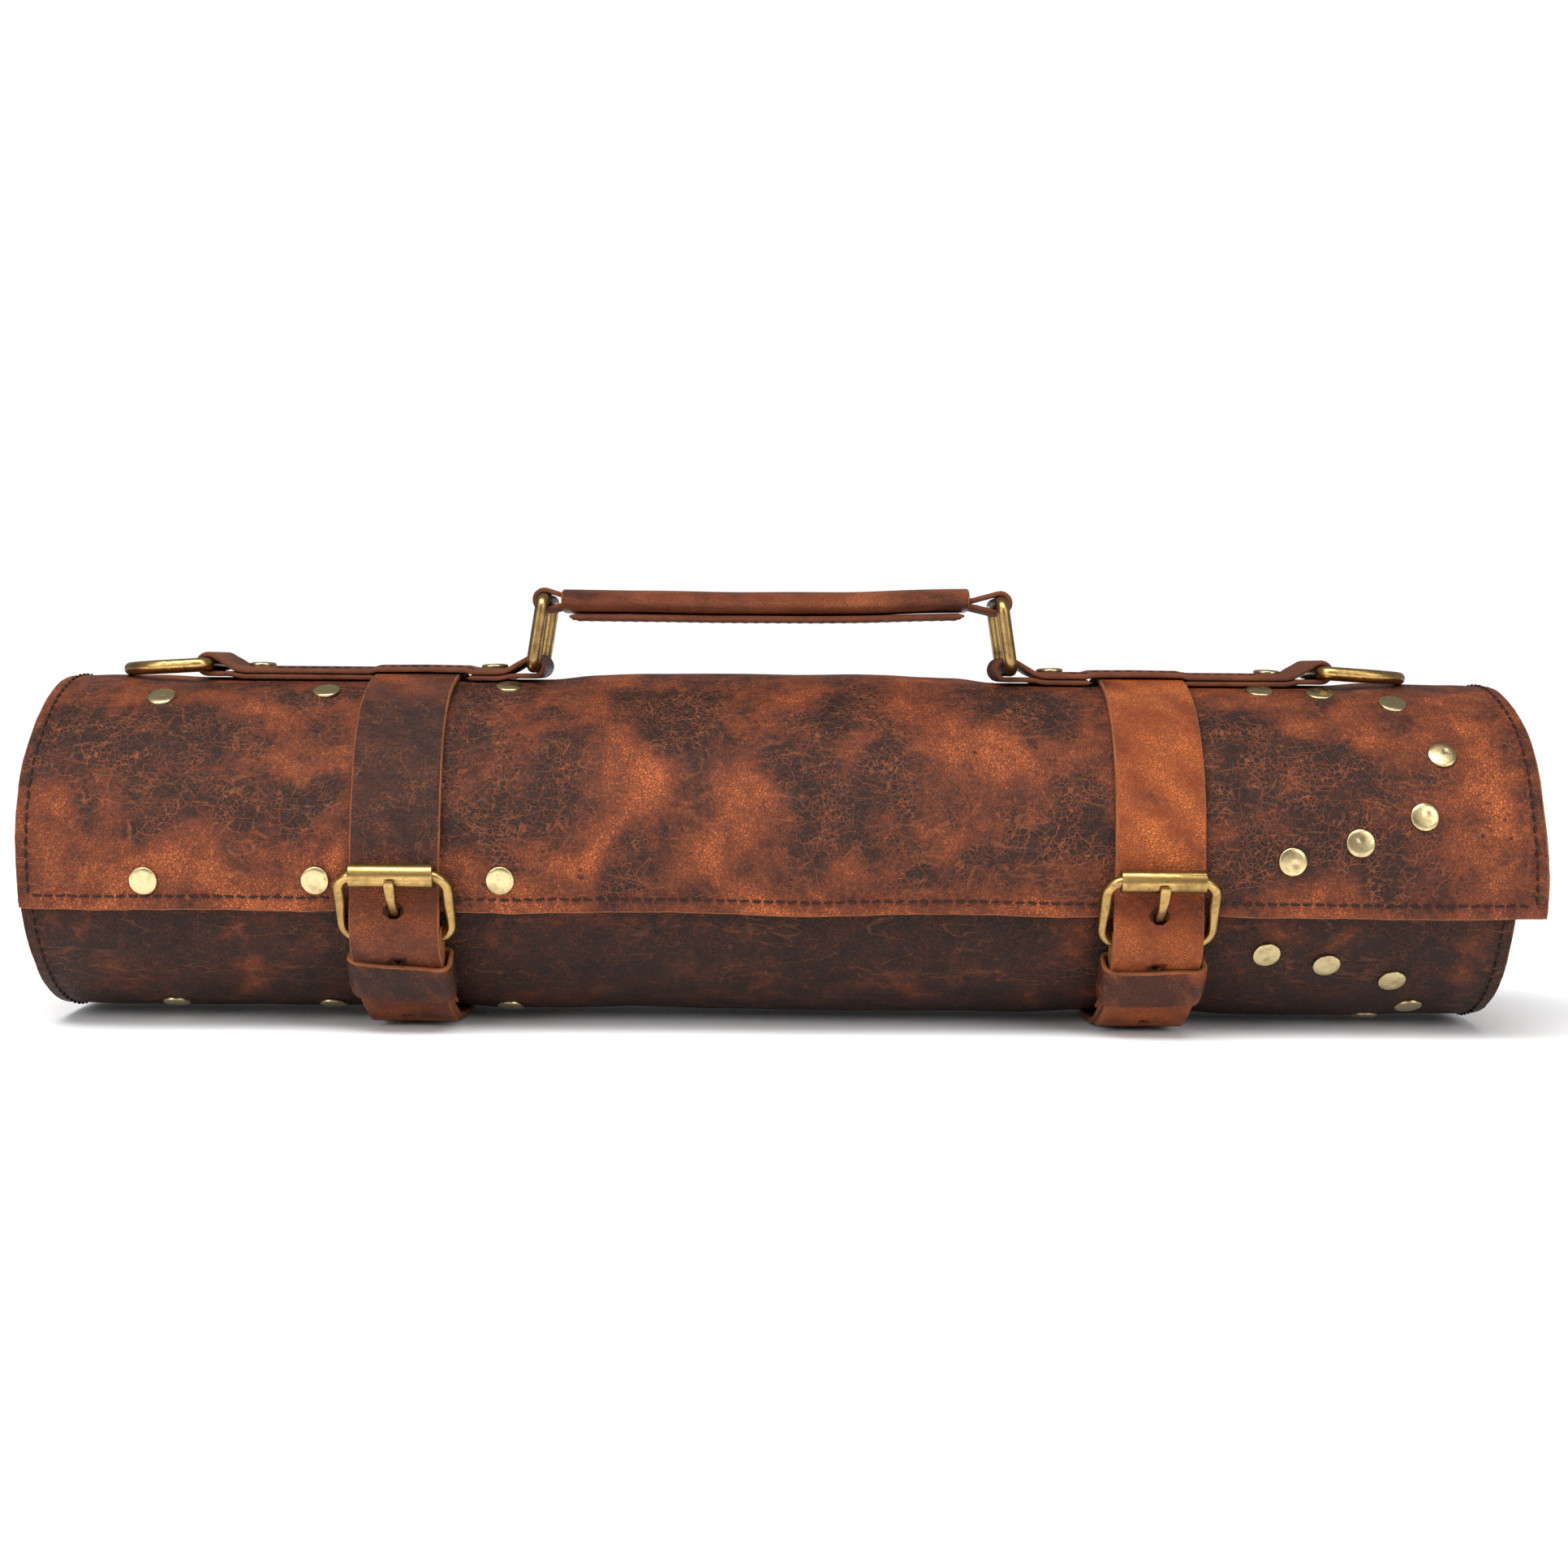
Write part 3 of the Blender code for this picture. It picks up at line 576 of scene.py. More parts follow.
base_leather = pull_up_leather(
    "base_strap_leather",
    ((0.15, (0.022, 0.009, 0.007)), (0.5, (0.08, 0.023, 0.01)), (0.9, (0.19, 0.056, 0.019))),
    crack=0.45, wide_crack=0.1, pits=0.1, creases=0.1, roughness=0.4, grain=1.2, patches=0.8,
)
handle_leather = pull_up_leather(
    "handle_leather",
    ((0.1, (0.04, 0.012, 0.007)), (0.5, (0.15, 0.037, 0.014)), (0.95, (0.3, 0.082, 0.029))),
    crack=0.35, wide_crack=0, pits=0.15, creases=0.2, stretch=(1.3, 1), roughness=0.34, grain=1.25,
    line=(0.26, 0.09, 0.035), patches=0.8,
)
case_edge = raw_edge("case_raw_edge", (0.29, 0.105, 0.04), (0.095, 0.031, 0.013))
strap_edge = raw_edge("strap_raw_edge", (0.3, 0.1, 0.034), (0.08, 0.025, 0.011))
base_edge = raw_edge("base_raw_edge", (0.15, 0.044, 0.018), (0.04, 0.013, 0.008))
lining_suede = raw_edge("lining_suede", (0.33, 0.16, 0.08), (0.15, 0.06, 0.027))
pocket_suede = raw_edge("pocket_suede", (0.26, 0.115, 0.055), (0.12, 0.046, 0.022))
brass = aged_metal("antique_brass_finish", (0.42, 0.265, 0.09), (0.095, 0.058, 0.026), 0.24, wear=0.52)
dark_brass = aged_metal("ring_brass_finish", (0.34, 0.215, 0.08), (0.07, 0.045, 0.025), 0.25, wear=0.55)
rivet_brass = aged_metal(
    "rivet_brass_finish", (0.47, 0.375, 0.2), (0.2, 0.135, 0.062), 0.24, wear=0.47, grain=1.6,
)
thread = thread_material()


# ---------------- the rolled leather

# Soft blotches of pull-up colour: (x, angle round the roll, reach along x, reach round, tilt, strength).
# A positive strength is orange, a negative one dark.
BLOTCHES = (
    (-190, 40, 30, 14, 0, -0.26),
    (-150, 68, 26, 6, -0.1, -0.34),
    (-146, 20, 20, 6, 0.2, -0.3),
    (-188, 12, 16, 9, 0, -0.16),
    (-80, 12, 16, 14, 0.3, -0.36),
    (-92, 52, 12, 16, 0, -0.22),
    (-30, 46, 9, 13, -0.6, -0.36),
    (10, 26, 18, 10, -0.5, -0.42),
    (22, 54, 16, 7, 0.1, -0.26),
    (44, 34, 12, 13, 0.5, -0.4),
    (80, 10, 18, 12, 0.4, -0.32),
    (70, 58, 15, 10, 0, -0.26),
    (132, 44, 12, 16, 0.3, -0.42),
    (150, 12, 26, 16, 0, -0.24),
    (180, 34, 16, 8, 0, -0.26),
    (206, 4, 10, 12, 0, -0.2),
    (-164, 52, 10, 11, 0, 0.42),
    (-142, 34, 22, 7, 0.25, 0.32),
    (-208, 4, 16, 12, 0, 0.2),
    (-140, -2, 40, 9, 0, 0.16),
    (-52, 24, 11, 20, -0.2, 0.42),
    (-20, 28, 7, 18, 0.7, 0.26),
    (4, 62, 12, 7, 0, 0.26),
    (28, 18, 20, 5, -0.45, 0.26),
    (66, 26, 13, 14, 0.5, 0.26),
    (168, 48, 20, 6, 0, 0.32),
    (208, 22, 9, 18, 0.2, 0.34),
    (-168, -46, 5, 22, 0, 0.34),
    (-92, -38, 9, 12, 0.4, 0.24),
    (20, -48, 40, 10, 0.2, 0.12),
    (212, -46, 7, 20, 0, 0.22),
)
DARK_STRENGTH, LIGHT_STRENGTH = 1.25, 0.7
# The blotches by length along the leather. Those below the flap's edge are on the under-layer.
BLOTCH_PLACES = [
    (x, arc_at((angle - FLAP_ANGLE) % 360), across, along, cos(tilt), sin(tilt),
     strength * (DARK_STRENGTH if strength < 0 else LIGHT_STRENGTH))
    for x, angle, across, along, tilt, strength in BLOTCHES
]
UNDER_LAYER_PAINTED_SHADE = -0.36  # painted shade: the under-layer below the flap, low on the roll, is darker than the flap
BLOTCH_BEND, BLOTCH_BEND_SIZE = 13, (34, 30)  # noise that bends the blotches' outlines


def case_mottle_and_painted_shade(x, t):
    """How light the case's leather is at this unrolled place: 0 dark, 1 orange, with painted shade on the
    under-layer.
    """
    u = x + wander(x, t, 0, BLOTCH_BEND_SIZE[0]) * BLOTCH_BEND
    v = t + wander(x, t, 90, BLOTCH_BEND_SIZE[1]) * BLOTCH_BEND
    value = 0.54 + 0.28 * wander(u, v * 1.15, 20, 42) + 0.28 * wander(u, v, 60, 17)
    value += 0.22 * wander(u, v, 140, 8)
    for bx, bt, across, along, c, s, strength in BLOTCH_PLACES:
        dx, dt = u - bx, v - bt
        reach = ((dx * c + dt * s) / across) ** 2 + ((dt * c - dx * s) / along) ** 2
        if reach < 4:
            value += strength * (1 - reach / 4) ** 2
    value += 0.16 * max(0, 1 - t / 6)  # rubbed along the flap's edge
    # Painted shade: the under-layer below the flap's edge is darkened.
    return value + UNDER_LAYER_PAINTED_SHADE * smooth((t - UNDER_LAYER_FROM) / UNDER_LAYER_FADE)


def plain_mottle(level, spread, size, seed):
    """A patch map for a small piece of leather, about this level."""
    def value(u, v):
        return level + spread * wander(u, v, seed, size) + 0.5 * spread * wander(u, v, seed + 50, size / 3)
    return value


def belt_mottle(side, seed):
    """A closing strap's patch map, with slanting streaks: the left is darkest in front, the right on top."""
    def value(along, across):
        streak = wander(0.9 * along + across, 0.3 * (along - across), seed, 9)
        cloud = wander(along, across, seed + 20, 22)
        if side == "left":
            front = 0.42 * window(along, 92, 14, 26)
            return 0.62 - front - 0.1 * smooth((along - 60) / 20) + 0.28 * streak + 0.35 * cloud
        return 0.62 - 0.34 * smooth((along - 128) / 16) + 0.38 * streak + 0.35 * cloud
    return value


def belt_press(x):
    return max(window(x, BELT_X[side], BELT_WIDTH / 2 + 0.5, 17) for side in SIDES)


def base_press(s, x):
    """How much the base straps hold the leather down at the top of the roll."""
    held = []
    for side in SIDES:
        inner, outer = HANDLE_BAR[side].x, D_BAR[side].x
        held.append(window(x, (inner + outer) / 2, abs(inner - outer) / 2 + 4, 14))
    return window(s + FLAP_ANGLE, 90, 12, 16) * max(held)


def surface_lift(s, x):
    """How far the leather's face stands off the plain spiral: it swells between whatever holds it down."""
    if s > 400:
        return 0
    t = arc_at(s)
    free = 1 - max(belt_press(x), base_press(s, x))
    swell = 0.75 + 0.85 * wander(x, t, 0, 58) + 0.35 * wander(x, t, 30, 24)
    crown = 1.3 * window(s + FLAP_ANGLE, 88, 10, 30) * window(x, -8, 30, 45)
    ends = smooth((HALF_LENGTH - abs(x)) / 14)
    under = 1 - 0.75 * smooth((s - 318) / 25)
    edge = max(0, 1 - s / 9) ** 2 * (0.45 + 0.7 * wander(x, 0, 11, 38))
    ripple = 0.1 * wander(x, t, 70, 9)
    lift = free * (swell * (0.35 + 0.65 * ends) * under + crown + edge) + ripple * free
    return lift * (1 - smooth((s - 372) / 20))


def panel_place(s, x_share, depth, inset=(0, 0)):
    """The point of the case's leather at this spiral angle and share of its width, depth below its face."""
    skew = min(1, s / FULL_SKEW)
    low = -HALF_LENGTH + inset[0] + LEFT_SKEW * skew
    high = HALF_LENGTH - inset[1] + RIGHT_SKEW * skew
    x = low + (high - low) * x_share
    t = arc_at(s)
    # The cut ends and the flap's edge wander a little.
    x += 0.55 * wander(t, 0, 5, 33) * window(x, low, 0, 14)
    x += 0.65 * wander(t, 0, 25, 27) * window(x, high, 0, 14)
    fall = (0.55 * wander(x, 0, 45, 46) + 0.22 * wander(x, 0, 65, 9)) * max(0, 1 - s / 22)
    r = panel_radius(s) + surface_lift(s, x) - depth
    return polar(r, s + FLAP_ANGLE - degrees(fall / FLAP_RADIUS), x), (x, t)


def panel_outward(s):
    a = radians(s + FLAP_ANGLE)
    return Vector((0, -cos(a), sin(a)))


FINE_PITCH, ACROSS_PITCH = 2.7, 3
COARSE_PITCH = 6  # spacing on the hidden inner turns
END_STRIP = 2  # length at a cut end that keeps its fine stations


def roll_piece(name, start, end, depth, thickness, inset, materials, mottle, fine_to=385):
    """A sheet of the roll between two spiral angles, with rounded, slightly frayed cut edges."""
    length = arc_at(end - start)
    fine_length = arc_at(max(0, min(fine_to, end) - start))
    along = [d for d in edge_stations(length, FINE_PITCH) if d < fine_length or d > length - END_STRIP]
    if fine_length < length - 2 * END_STRIP:
        first = max(fine_length, END_STRIP)
        span = length - END_STRIP - first
        coarse = ceil(span / COARSE_PITCH)
        along += [first + span * i / coarse for i in range(coarse)]
    width = 2 * HALF_LENGTH - inset[0] - inset[1]
    across = edge_stations(width, ACROSS_PITCH)
    rows = []
    for d in sorted(set(along)):
        s = start + degrees(d / MEAN_RADIUS)
        row = []
        for e in across:
            to_edge = min(d, length - d, e, width - e)
            drop = edge_drop(to_edge)
            outer, flat = panel_place(s, e / width, depth + drop, inset)
            inner, _ = panel_place(s, e / width, depth + thickness - drop, inset)
            if to_edge < 0.5:
                outer, inner = fray(outer, flat[1], 0.16), fray(inner, flat[1] + 9, 0.16)
            row.append((outer, inner, flat))
        rows.append(row)
    return solid_sheet(name, rows, materials, mottle)


def flat_size(inset, start, end, depth):
    """The width and length, in metres, of a rolled sheet between two spiral angles."""
    steps = 200
    step = (end - start) / steps
    length = sum(radians(step) * (panel_radius(start + step * (i + 0.5)) - depth) for i in range(steps))
    return (2 * HALF_LENGTH - 2 * inset) * MM, length * MM


def lay_sheet(name, node, slot, rests_on, flat, *shape, **detail):
    sheet = roll_piece(name, *shape, **detail)
    place_piece(sheet, "root", slot, node)


def build_roll():
    lay_sheet(
        "case_leather_roll", "outer_panel", "pull_up_leather", "lining_leather_roll",
        flat_size(0, 0, PANEL_END, 0), 0, PANEL_END, 0, PANEL_T, (0, 0),
        (leather, case_edge), case_mottle_and_painted_shade,
    )
    plain = plain_mottle(0.5, 0.2, 40, 8)
    start, end = LINING_START, PANEL_END - 1
    lay_sheet(
        "lining_leather_roll", "lining_panel", "lining_leather", "case_leather_roll",
        flat_size(0, start, end, PANEL_T), start, end, PANEL_T + GAP / 2, LINING_T,
        (LINING_INSET, -LINING_PROUD), (lining_suede, lining_suede), plain, fine_to=20,
    )
    start, end, depth = POCKET_START, POCKET_END, PANEL_T + LINING_T + 2 * GAP
    lay_sheet(
        "brush_pocket_roll", "brush_pocket_panel", "pocket_leather", "lining_leather_roll",
        flat_size(POCKET_INSET, start, end, depth), start, end, depth, POCKET_T, (POCKET_INSET, POCKET_INSET),
        (pocket_suede, pocket_suede), plain, fine_to=0,
    )


# ---------------- stitches

STITCH_PITCH, STITCH_LENGTH = 3.6, 2.7
STITCH_DIP = 14.4  # how steeply a stitch's ends dive, in thread radii
STITCH_SIDES, STITCH_STEPS = 6, 6


def stitch_run(name, path, body, slot, radius=0.42, proud=0.75, seed=1):
    """Thread stitches along a path of (place, outward) pairs: each dips into the leather at both its ends."""
    random = Random(seed)
    places = [p for p, _ in path]
    lengths = [0]
    for a, b in zip(places, places[1:]):
        lengths.append(lengths[-1] + (b - a).length)

    def at(distance):
        distance = min(max(distance, 0), lengths[-1])
        i = next(k for k in range(1, len(lengths)) if lengths[k] >= distance - 1e-9)
        share = (distance - lengths[i - 1]) / max(1e-9, lengths[i] - lengths[i - 1])
        return places[i - 1].lerp(places[i], share), path[i - 1][1].lerp(path[i][1], share).normalized()

    points, faces = [], []
    for number in range(int(lengths[-1] / STITCH_PITCH)):
        middle = (number + 0.5) * STITCH_PITCH + random.uniform(-0.12, 0.12)
        slant = random.uniform(-0.1, 0.1)
        base = len(points)
        for k in range(STITCH_STEPS + 1):
            share = k / STITCH_STEPS - 0.5
            place, out = at(middle + share * STITCH_LENGTH)
            ahead, _ = at(middle + share * STITCH_LENGTH + 0.1)
            along = (ahead - place).normalized() if (ahead - place).length > 1e-6 else RIGHT
            side = along.cross(out).normalized()
            height = radius * (proud - STITCH_DIP * share**4)
            centre = place + out * height + side * slant * share * 4
            points += circle(centre, side, out, radius * (1 - 1.2 * share**2), STITCH_SIDES)
        for k in range(STITCH_STEPS):
            for m in range(STITCH_SIDES):
                a, b = base + k * STITCH_SIDES + m, base + k * STITCH_SIDES + (m + 1) % STITCH_SIDES
                faces.append((a, b, b + STITCH_SIDES, a + STITCH_SIDES))
        faces.append(tuple(base + m for m in range(STITCH_SIDES)))
        faces.append(tuple(base + STITCH_STEPS * STITCH_SIDES + m for m in reversed(range(STITCH_SIDES))))
    place_piece(make_object(name, points, faces, [thread], sharp=60), body, slot)


def build_roll_stitches():
    seam = 4.4  # distance of the seams from the cut edges
    flap_s = degrees(seam / FLAP_RADIUS)
    steps = 240
    ends = seam / (2 * HALF_LENGTH)
    flap = [
        (panel_place(flap_s, ends + (1 - 2 * ends) * i / steps, 0)[0], panel_outward(flap_s))
        for i in range(steps + 1)
    ]
    stitch_run("flap_stitching", flap, "root", "pull_up_leather", seed=3)
    for side, share, seed in (("left", ends * 0.8, 5), ("right", 1 - ends * 0.8, 7)):
        turns = [flap_s + (366 - flap_s) * i / steps for i in range(steps + 1)]
        path = [(panel_place(s, share, 0)[0], panel_outward(s)) for s in turns]
        stitch_run(f"{side}_end_stitching", path, "root", "pull_up_leather", seed=seed)


# ---------------- rivets

RIVET_R, RIVET_H = 4.3, 1.05
RIM_R, RIM_H = 0.42, 0.28  # the rolled rim's radius, and its height where it starts to turn in
CAP_FROM = 0.7  # height at which the domed cap starts
DENT_DEPTH, DENT_R = 0.16, 1.5


def rivet(name, place, out, seed):
    """A low pressed cap with a rolled rim and a slight dent, on its shank through the leather."""
    random = Random(seed)
    side = (RIGHT - out * RIGHT.dot(out)).normalized()
    other = out.cross(side)
    dent = Vector((random.uniform(-1.2, 1.2), random.uniform(-1.2, 1.2)))
    tilt = Vector((random.uniform(-0.035, 0.035), random.uniform(-0.035, 0.035)))
    profile = [(RIVET_R - 0.35, -0.35), (RIVET_R, -0.1), (RIVET_R, RIM_H)]
    profile += [(RIVET_R - RIM_R + RIM_R * cos(t), RIM_H + RIM_R * sin(t)) for t in (0.4, 0.8, 1.2, 1.57)]
    for share in (0.82, 0.7, 0.56, 0.42, 0.28, 0.14):
        profile.append((RIVET_R * share, CAP_FROM + (RIVET_H - CAP_FROM) * (1 - share * share) ** 0.8))
    sides = 40
    rings = []
    for r, h in profile:
        ring = []
        for k in range(sides):
            turn = 2 * pi * k / sides
            u, v = r * cos(turn), r * sin(turn)
            away = hypot(u - dent.x, v - dent.y)
            sunk = DENT_DEPTH * (1 - smooth(away / DENT_R)) if h > 0.6 else 0
            lift = h + u * tilt.x + v * tilt.y - sunk
            ring.append(place + side * u + other * v + out * lift)
        rings.append(ring)
    return skin_rings(name, rings, rivet_brass, sharp=50)


def build_rivets():
    names = [name for name in frame["nodes"] if name.startswith("rivet_")]
    for seed, name in enumerate(sorted(names), 20):
        low, high = node_box(name)
        middle = (low + high) / 2
        if name.startswith("rivet_base"):
            place, out = Vector((middle.x, AXIS.y, high.z - RIVET_H - 0.1)), UP
        else:
            s = (angle_of(middle) - FLAP_ANGLE) % 360
            out = panel_outward(s)
            place = polar(panel_radius(s) + surface_lift(s, middle.x) + 0.05, s + FLAP_ANGLE, middle.x)
        place_piece(rivet(f"cap_{name}", place, out, seed), "root", "pale_brass", name)


# ---------------- straps

def strap(name, path, across, width, thickness, materials, mottle, shape=None):
    """A flat strap with rounded edges. shape(place, e, travelled) may move a point that lies e across it."""
    stations = edge_stations(width, 2.2)
    total = sum((b - a).length for a, b in zip(path, path[1:]))
    travelled, rows = 0, []
    for i, (place, along) in enumerate(zip(path, tangents(path))):
        if i:
            travelled += (place - path[i - 1]).length
        side = (across - along * across.dot(along)).normalized()
        normal = side.cross(along).normalized()
        to_end = min(travelled, total - travelled)
        row = []
        for e in stations:
            to_edge = min(e, width - e, to_end)
            half = thickness / 2 - edge_drop(to_edge, min(0.6, thickness / 2.6))
            centre = place + side * (e - width / 2)
            if shape:
                centre = centre + shape(place, e - width / 2, travelled)
            outer, inner = centre + normal * half, centre - normal * half
            if to_edge < 0.5:
                outer, inner = fray(outer, travelled, 0.1), fray(inner, travelled + 9, 0.1)
            row.append((outer, inner, (travelled, e - width / 2)))
        rows.append(row)
    return solid_sheet(name, rows, materials, mottle)


KEEPER_BACK_T, KEEPER_T = 1.4, 1.8
KEEPER_TOP, KEEPER_BOTTOM = -32, -45
TAIL_HOLES, TAIL_HOLE_R = (-30.8, -57), 1.6
KEEPER_INNER_R = UNDER_R + 0.4 + KEEPER_BACK_T
FOLD_R = KEEPER_INNER_R + GAP + BELT_T / 2
UNDER_STRAP_R = FOLD_R + BELT_T + GAP
TAIL_R = UNDER_STRAP_R + BELT_T + GAP
BUCKLE_WIRE = 1.5
BUCKLE_BAR_ANGLE = -25
BUCKLE_BAR, ROLLER = at_middle("prong_left_lift"), at_middle("roller_left_spin")
ROLLER_LENGTH, ROLLER_R = 25, 3.68
PRONG_WIDTH, PRONG_T = 3.2, 2.2
STEM_SECTION = [squircle(2 * pi * k / 20) for k in range(20)]
PRONG_ROOM = 0.3  # clearance round the prong's stem
LIFT_ROOM = 0.09  # further clearance above it, per length from the bar


def belt_path():
    """Middle line of a closing strap: from the tail's tip over the buckle, round the roll, to its fold."""
    points = [polar(TAIL_R, a) for a in (-62, -57, -52, -47, -42, -37, -31.5)]
    points += [polar(TAIL_R + 1.2, -28.5), polar(TAIL_R + 1.75, -25), polar(TAIL_R + 1, -21)]
    points += [polar(59.3, -17), polar(57.9, -13), polar(57, -9)]
    for angle in range(0, 260, 10):
        points.append(polar(panel_radius((angle - FLAP_ANGLE) % 360) + GAP + BELT_T / 2, angle))
    points += [Vector((0, AXIS.y + side * 9.7, BELT_T / 2)) for side in (1, -1)]
    points += [polar(UNDER_STRAP_R - 1.2, -72), polar(UNDER_STRAP_R, -65)]
    points += [polar(UNDER_STRAP_R, a) for a in (-60, -55, -50, -45, -40, -35, -31)]
    bend = BUCKLE_WIRE + GAP + BELT_T / 2
    outward = 180 - BUCKLE_BAR_ANGLE
    points += [Vector((0, *p)) for p in arc(BUCKLE_BAR.yz, bend, outward, outward - 180, 6)]
    points += [polar(FOLD_R, a) for a in (-31, -35, -40, -45, -50, -55, -59)]
    return points


def prong_path():
    """Middle line of a prong from its eye on the bar to its tip on the roller."""
    tip_r = (ROLLER - Vector((0, AXIS.y, AXIS.z))).length + 3.4 + GAP + PRONG_T / 2
    stem = [BUCKLE_BAR + Vector((0, *p)) for p in ((-0.6, 2.4), (-5.4, 7.6), (-12, 13))]
    return stem + [polar(tip_r, -4.5)]


def punch(obj, cutters):
    """Cuts real holes through a finished piece and keeps its attributes."""
    for cutter in cutters:
        modifier = obj.modifiers.new("hole", "BOOLEAN")
        modifier.operation = "DIFFERENCE"
        modifier.solver = "EXACT"
        modifier.object = cutter
    bpy.context.view_layer.update()
    evaluated = obj.evaluated_get(bpy.context.evaluated_depsgraph_get())
    mesh = bpy.data.meshes.new_from_object(evaluated)
    obj.modifiers.clear()
    obj.data = mesh
    for cutter in cutters:
        bpy.data.objects.remove(cutter)


def tail_hole(angle, x):
    """A round cutter through a strap's tail."""
    out = Vector((0, -cos(radians(angle)), sin(radians(angle))))
    other = out.cross(RIGHT).normalized()
    rings = [circle(polar(TAIL_R, angle, x) + out * h, RIGHT, other, TAIL_HOLE_R, 20) for h in (-2, 2)]
    return skin_rings("tail_hole", rings, strap_edge)


def stem_clearance(centre):
    """A cutter that follows the prong's stem, with room above it for the prong's lift."""
    path = spline(prong_path(), 2)
    half_w, below = PRONG_WIDTH / 2 + PRONG_ROOM, PRONG_T / 2 + PRONG_ROOM
    rings = []
    for place, along in zip(path, tangents(path)):
        out = along.cross(RIGHT).normalized()
        out = out if out.y < 0 else -out
        above = PRONG_T / 2 + PRONG_ROOM + LIFT_ROOM * (place - path[0]).length
        middle = place + centre
        rings.append([
            middle + RIGHT * half_w * u + out * (above if v > 0 else below) * v for u, v in STEM_SECTION
        ])
    return skin_rings("stem_clearance", rings, strap_edge)


def eye_clearance(centre):
    """A cutter round the buckle's bar that clears the prong's eye of the folded strap."""
    room = arc((0, 0), BUCKLE_WIRE + GAP + BELT_T + 0.25, 0, 330, 11)
    half = RIGHT * (PRONG_WIDTH / 2 + 0.6)
    rings = [[BUCKLE_BAR + Vector((0, *p)) + centre + reach for p in room] for reach in (-half, half)]
    return skin_rings("eye_clearance", rings, strap_edge)


def build_closing_strap(side):
    lean = SIDES[side]
    centre = RIGHT * BELT_X[side]
    path = [p + centre for p in spline(belt_path(), 1.7)]
    seed = 11 if side == "left" else 47

    def shape(place, e, travelled):
        """The strap leans outwards over the top of the roll and its tail swings inwards at its end."""
        angle = angle_of(place)
        over_top = 1.4 * lean * window(angle, 90, 25, 60)
        swing = -1 * lean * (1 - smooth(travelled / 15))
        under = -1.2 * lean * window(angle % 360, 285, 8, 24) * float(travelled > 60)
        return Vector((0.3 * wander(travelled, 0, seed, 40) + over_top + swing + under, 0, 0))

    belt = strap(
        f"buckled_strap_{side}", path, RIGHT, BELT_WIDTH, BELT_T, (belt_leather[side], strap_edge),
        belt_mottle(side, seed), shape,
    )
    cutters = [tail_hole(angle, BELT_X[side]) for angle in TAIL_HOLES]
    punch(belt, cutters + [stem_clearance(centre), eye_clearance(centre)])
    place_piece(belt, "root", "strap_leather", f"closing_strap_{side}")
    build_buckle(side, centre)
    build_roller(side, centre + ROLLER)
    build_prong(side, centre)
    build_keeper(side, BELT_X[side])


def build_buckle(side, centre):
    node = f"buckle_frame_{side}"
    low, high = node_box(node)
    length = (ROLLER - BUCKLE_BAR).length
    outline = rounded_rectangle(high.x - low.x - 2 * BUCKLE_WIRE, length, [5.4] * 4, steps=10)
    middle = centre + (ROLLER + BUCKLE_BAR) / 2
    up = (ROLLER - BUCKLE_BAR).normalized()
    wire_loop(node, "root", middle, RIGHT, up, outline, 0.9, 1.2, BUCKLE_WIRE + 0.22, brass, 16)


def build_roller(side, middle):
    """Sheet metal rolled round the bar, with its seam in front and square-cut ends."""
    inner, steps = BUCKLE_WIRE + 0.5, 56
    facets = 0.07 if side == "left" else 0.3
    half = [(-0.5, inner, 0), (-0.5, ROLLER_R - 0.25, 0), (-0.49, ROLLER_R, 1)]
    rings = []
    for dx, r, dull in half + [(-dx, r, dull) for dx, r, dull in reversed(half)]:
        ring = []
        for k in range(steps):
            turn = 2 * pi * k / steps
            seam = -0.28 * (1 - smooth(abs(turn - 3.55) / 0.13)) * dull
            flat = -facets * abs(sin(2.5 * turn + 0.5)) * dull
            reach = r + seam + flat
            ring.append(middle + Vector((dx * ROLLER_LENGTH, reach * cos(turn), reach * sin(turn))))
        rings.append(ring)
    node = f"buckle_roller_{side}"
    place_piece(skin_rings(f"sheet_roller_{side}", rings, brass, True, 30), node, "antique_brass", node)


def build_prong(side, centre):
    """A forged prong: an eye bent round the bar, a rounded stem and a flattened square tip."""
    node = f"buckle_prong_{side}"
    path = [p + centre for p in spline(prong_path(), 0.6)]
    rings = []
    for i, (place, along) in enumerate(zip(path, tangents(path))):
        share = i / (len(path) - 1)
        out = RIGHT.cross(along).normalized()
        half_w = PRONG_WIDTH / 2 * (0.86 + 0.14 * smooth((share - 0.6) / 0.3))
        half_t = PRONG_T / 2 * (1 - 0.25 * smooth((share - 0.7) / 0.3))
        if share > 0.97 or share < 0.02:
            half_w, half_t = half_w * 0.86, half_t * 0.7
        rings.append([place + RIGHT * (half_w * u) + out * (half_t * v) for u, v in STEM_SECTION])
    place_piece(skin_rings(f"forged_prong_{side}", rings, brass, sharp=60), node, "antique_brass", node)

    bar = centre + BUCKLE_BAR
    inner, outer, half = BUCKLE_WIRE + 0.25, BUCKLE_WIRE + 1.5, PRONG_WIDTH / 2 * 0.86
    profile = [(-half, inner), (-half, outer - 0.3), (-half + 0.3, outer)]
    profile += [(-dx, r) for dx, r in reversed(profile)]
    rings = [circle(bar + RIGHT * dx, BACK, UP, r, 36) for dx, r in profile]
    place_piece(skin_rings(f"prong_eye_{side}", rings, brass, True, 60), node, "antique_brass")


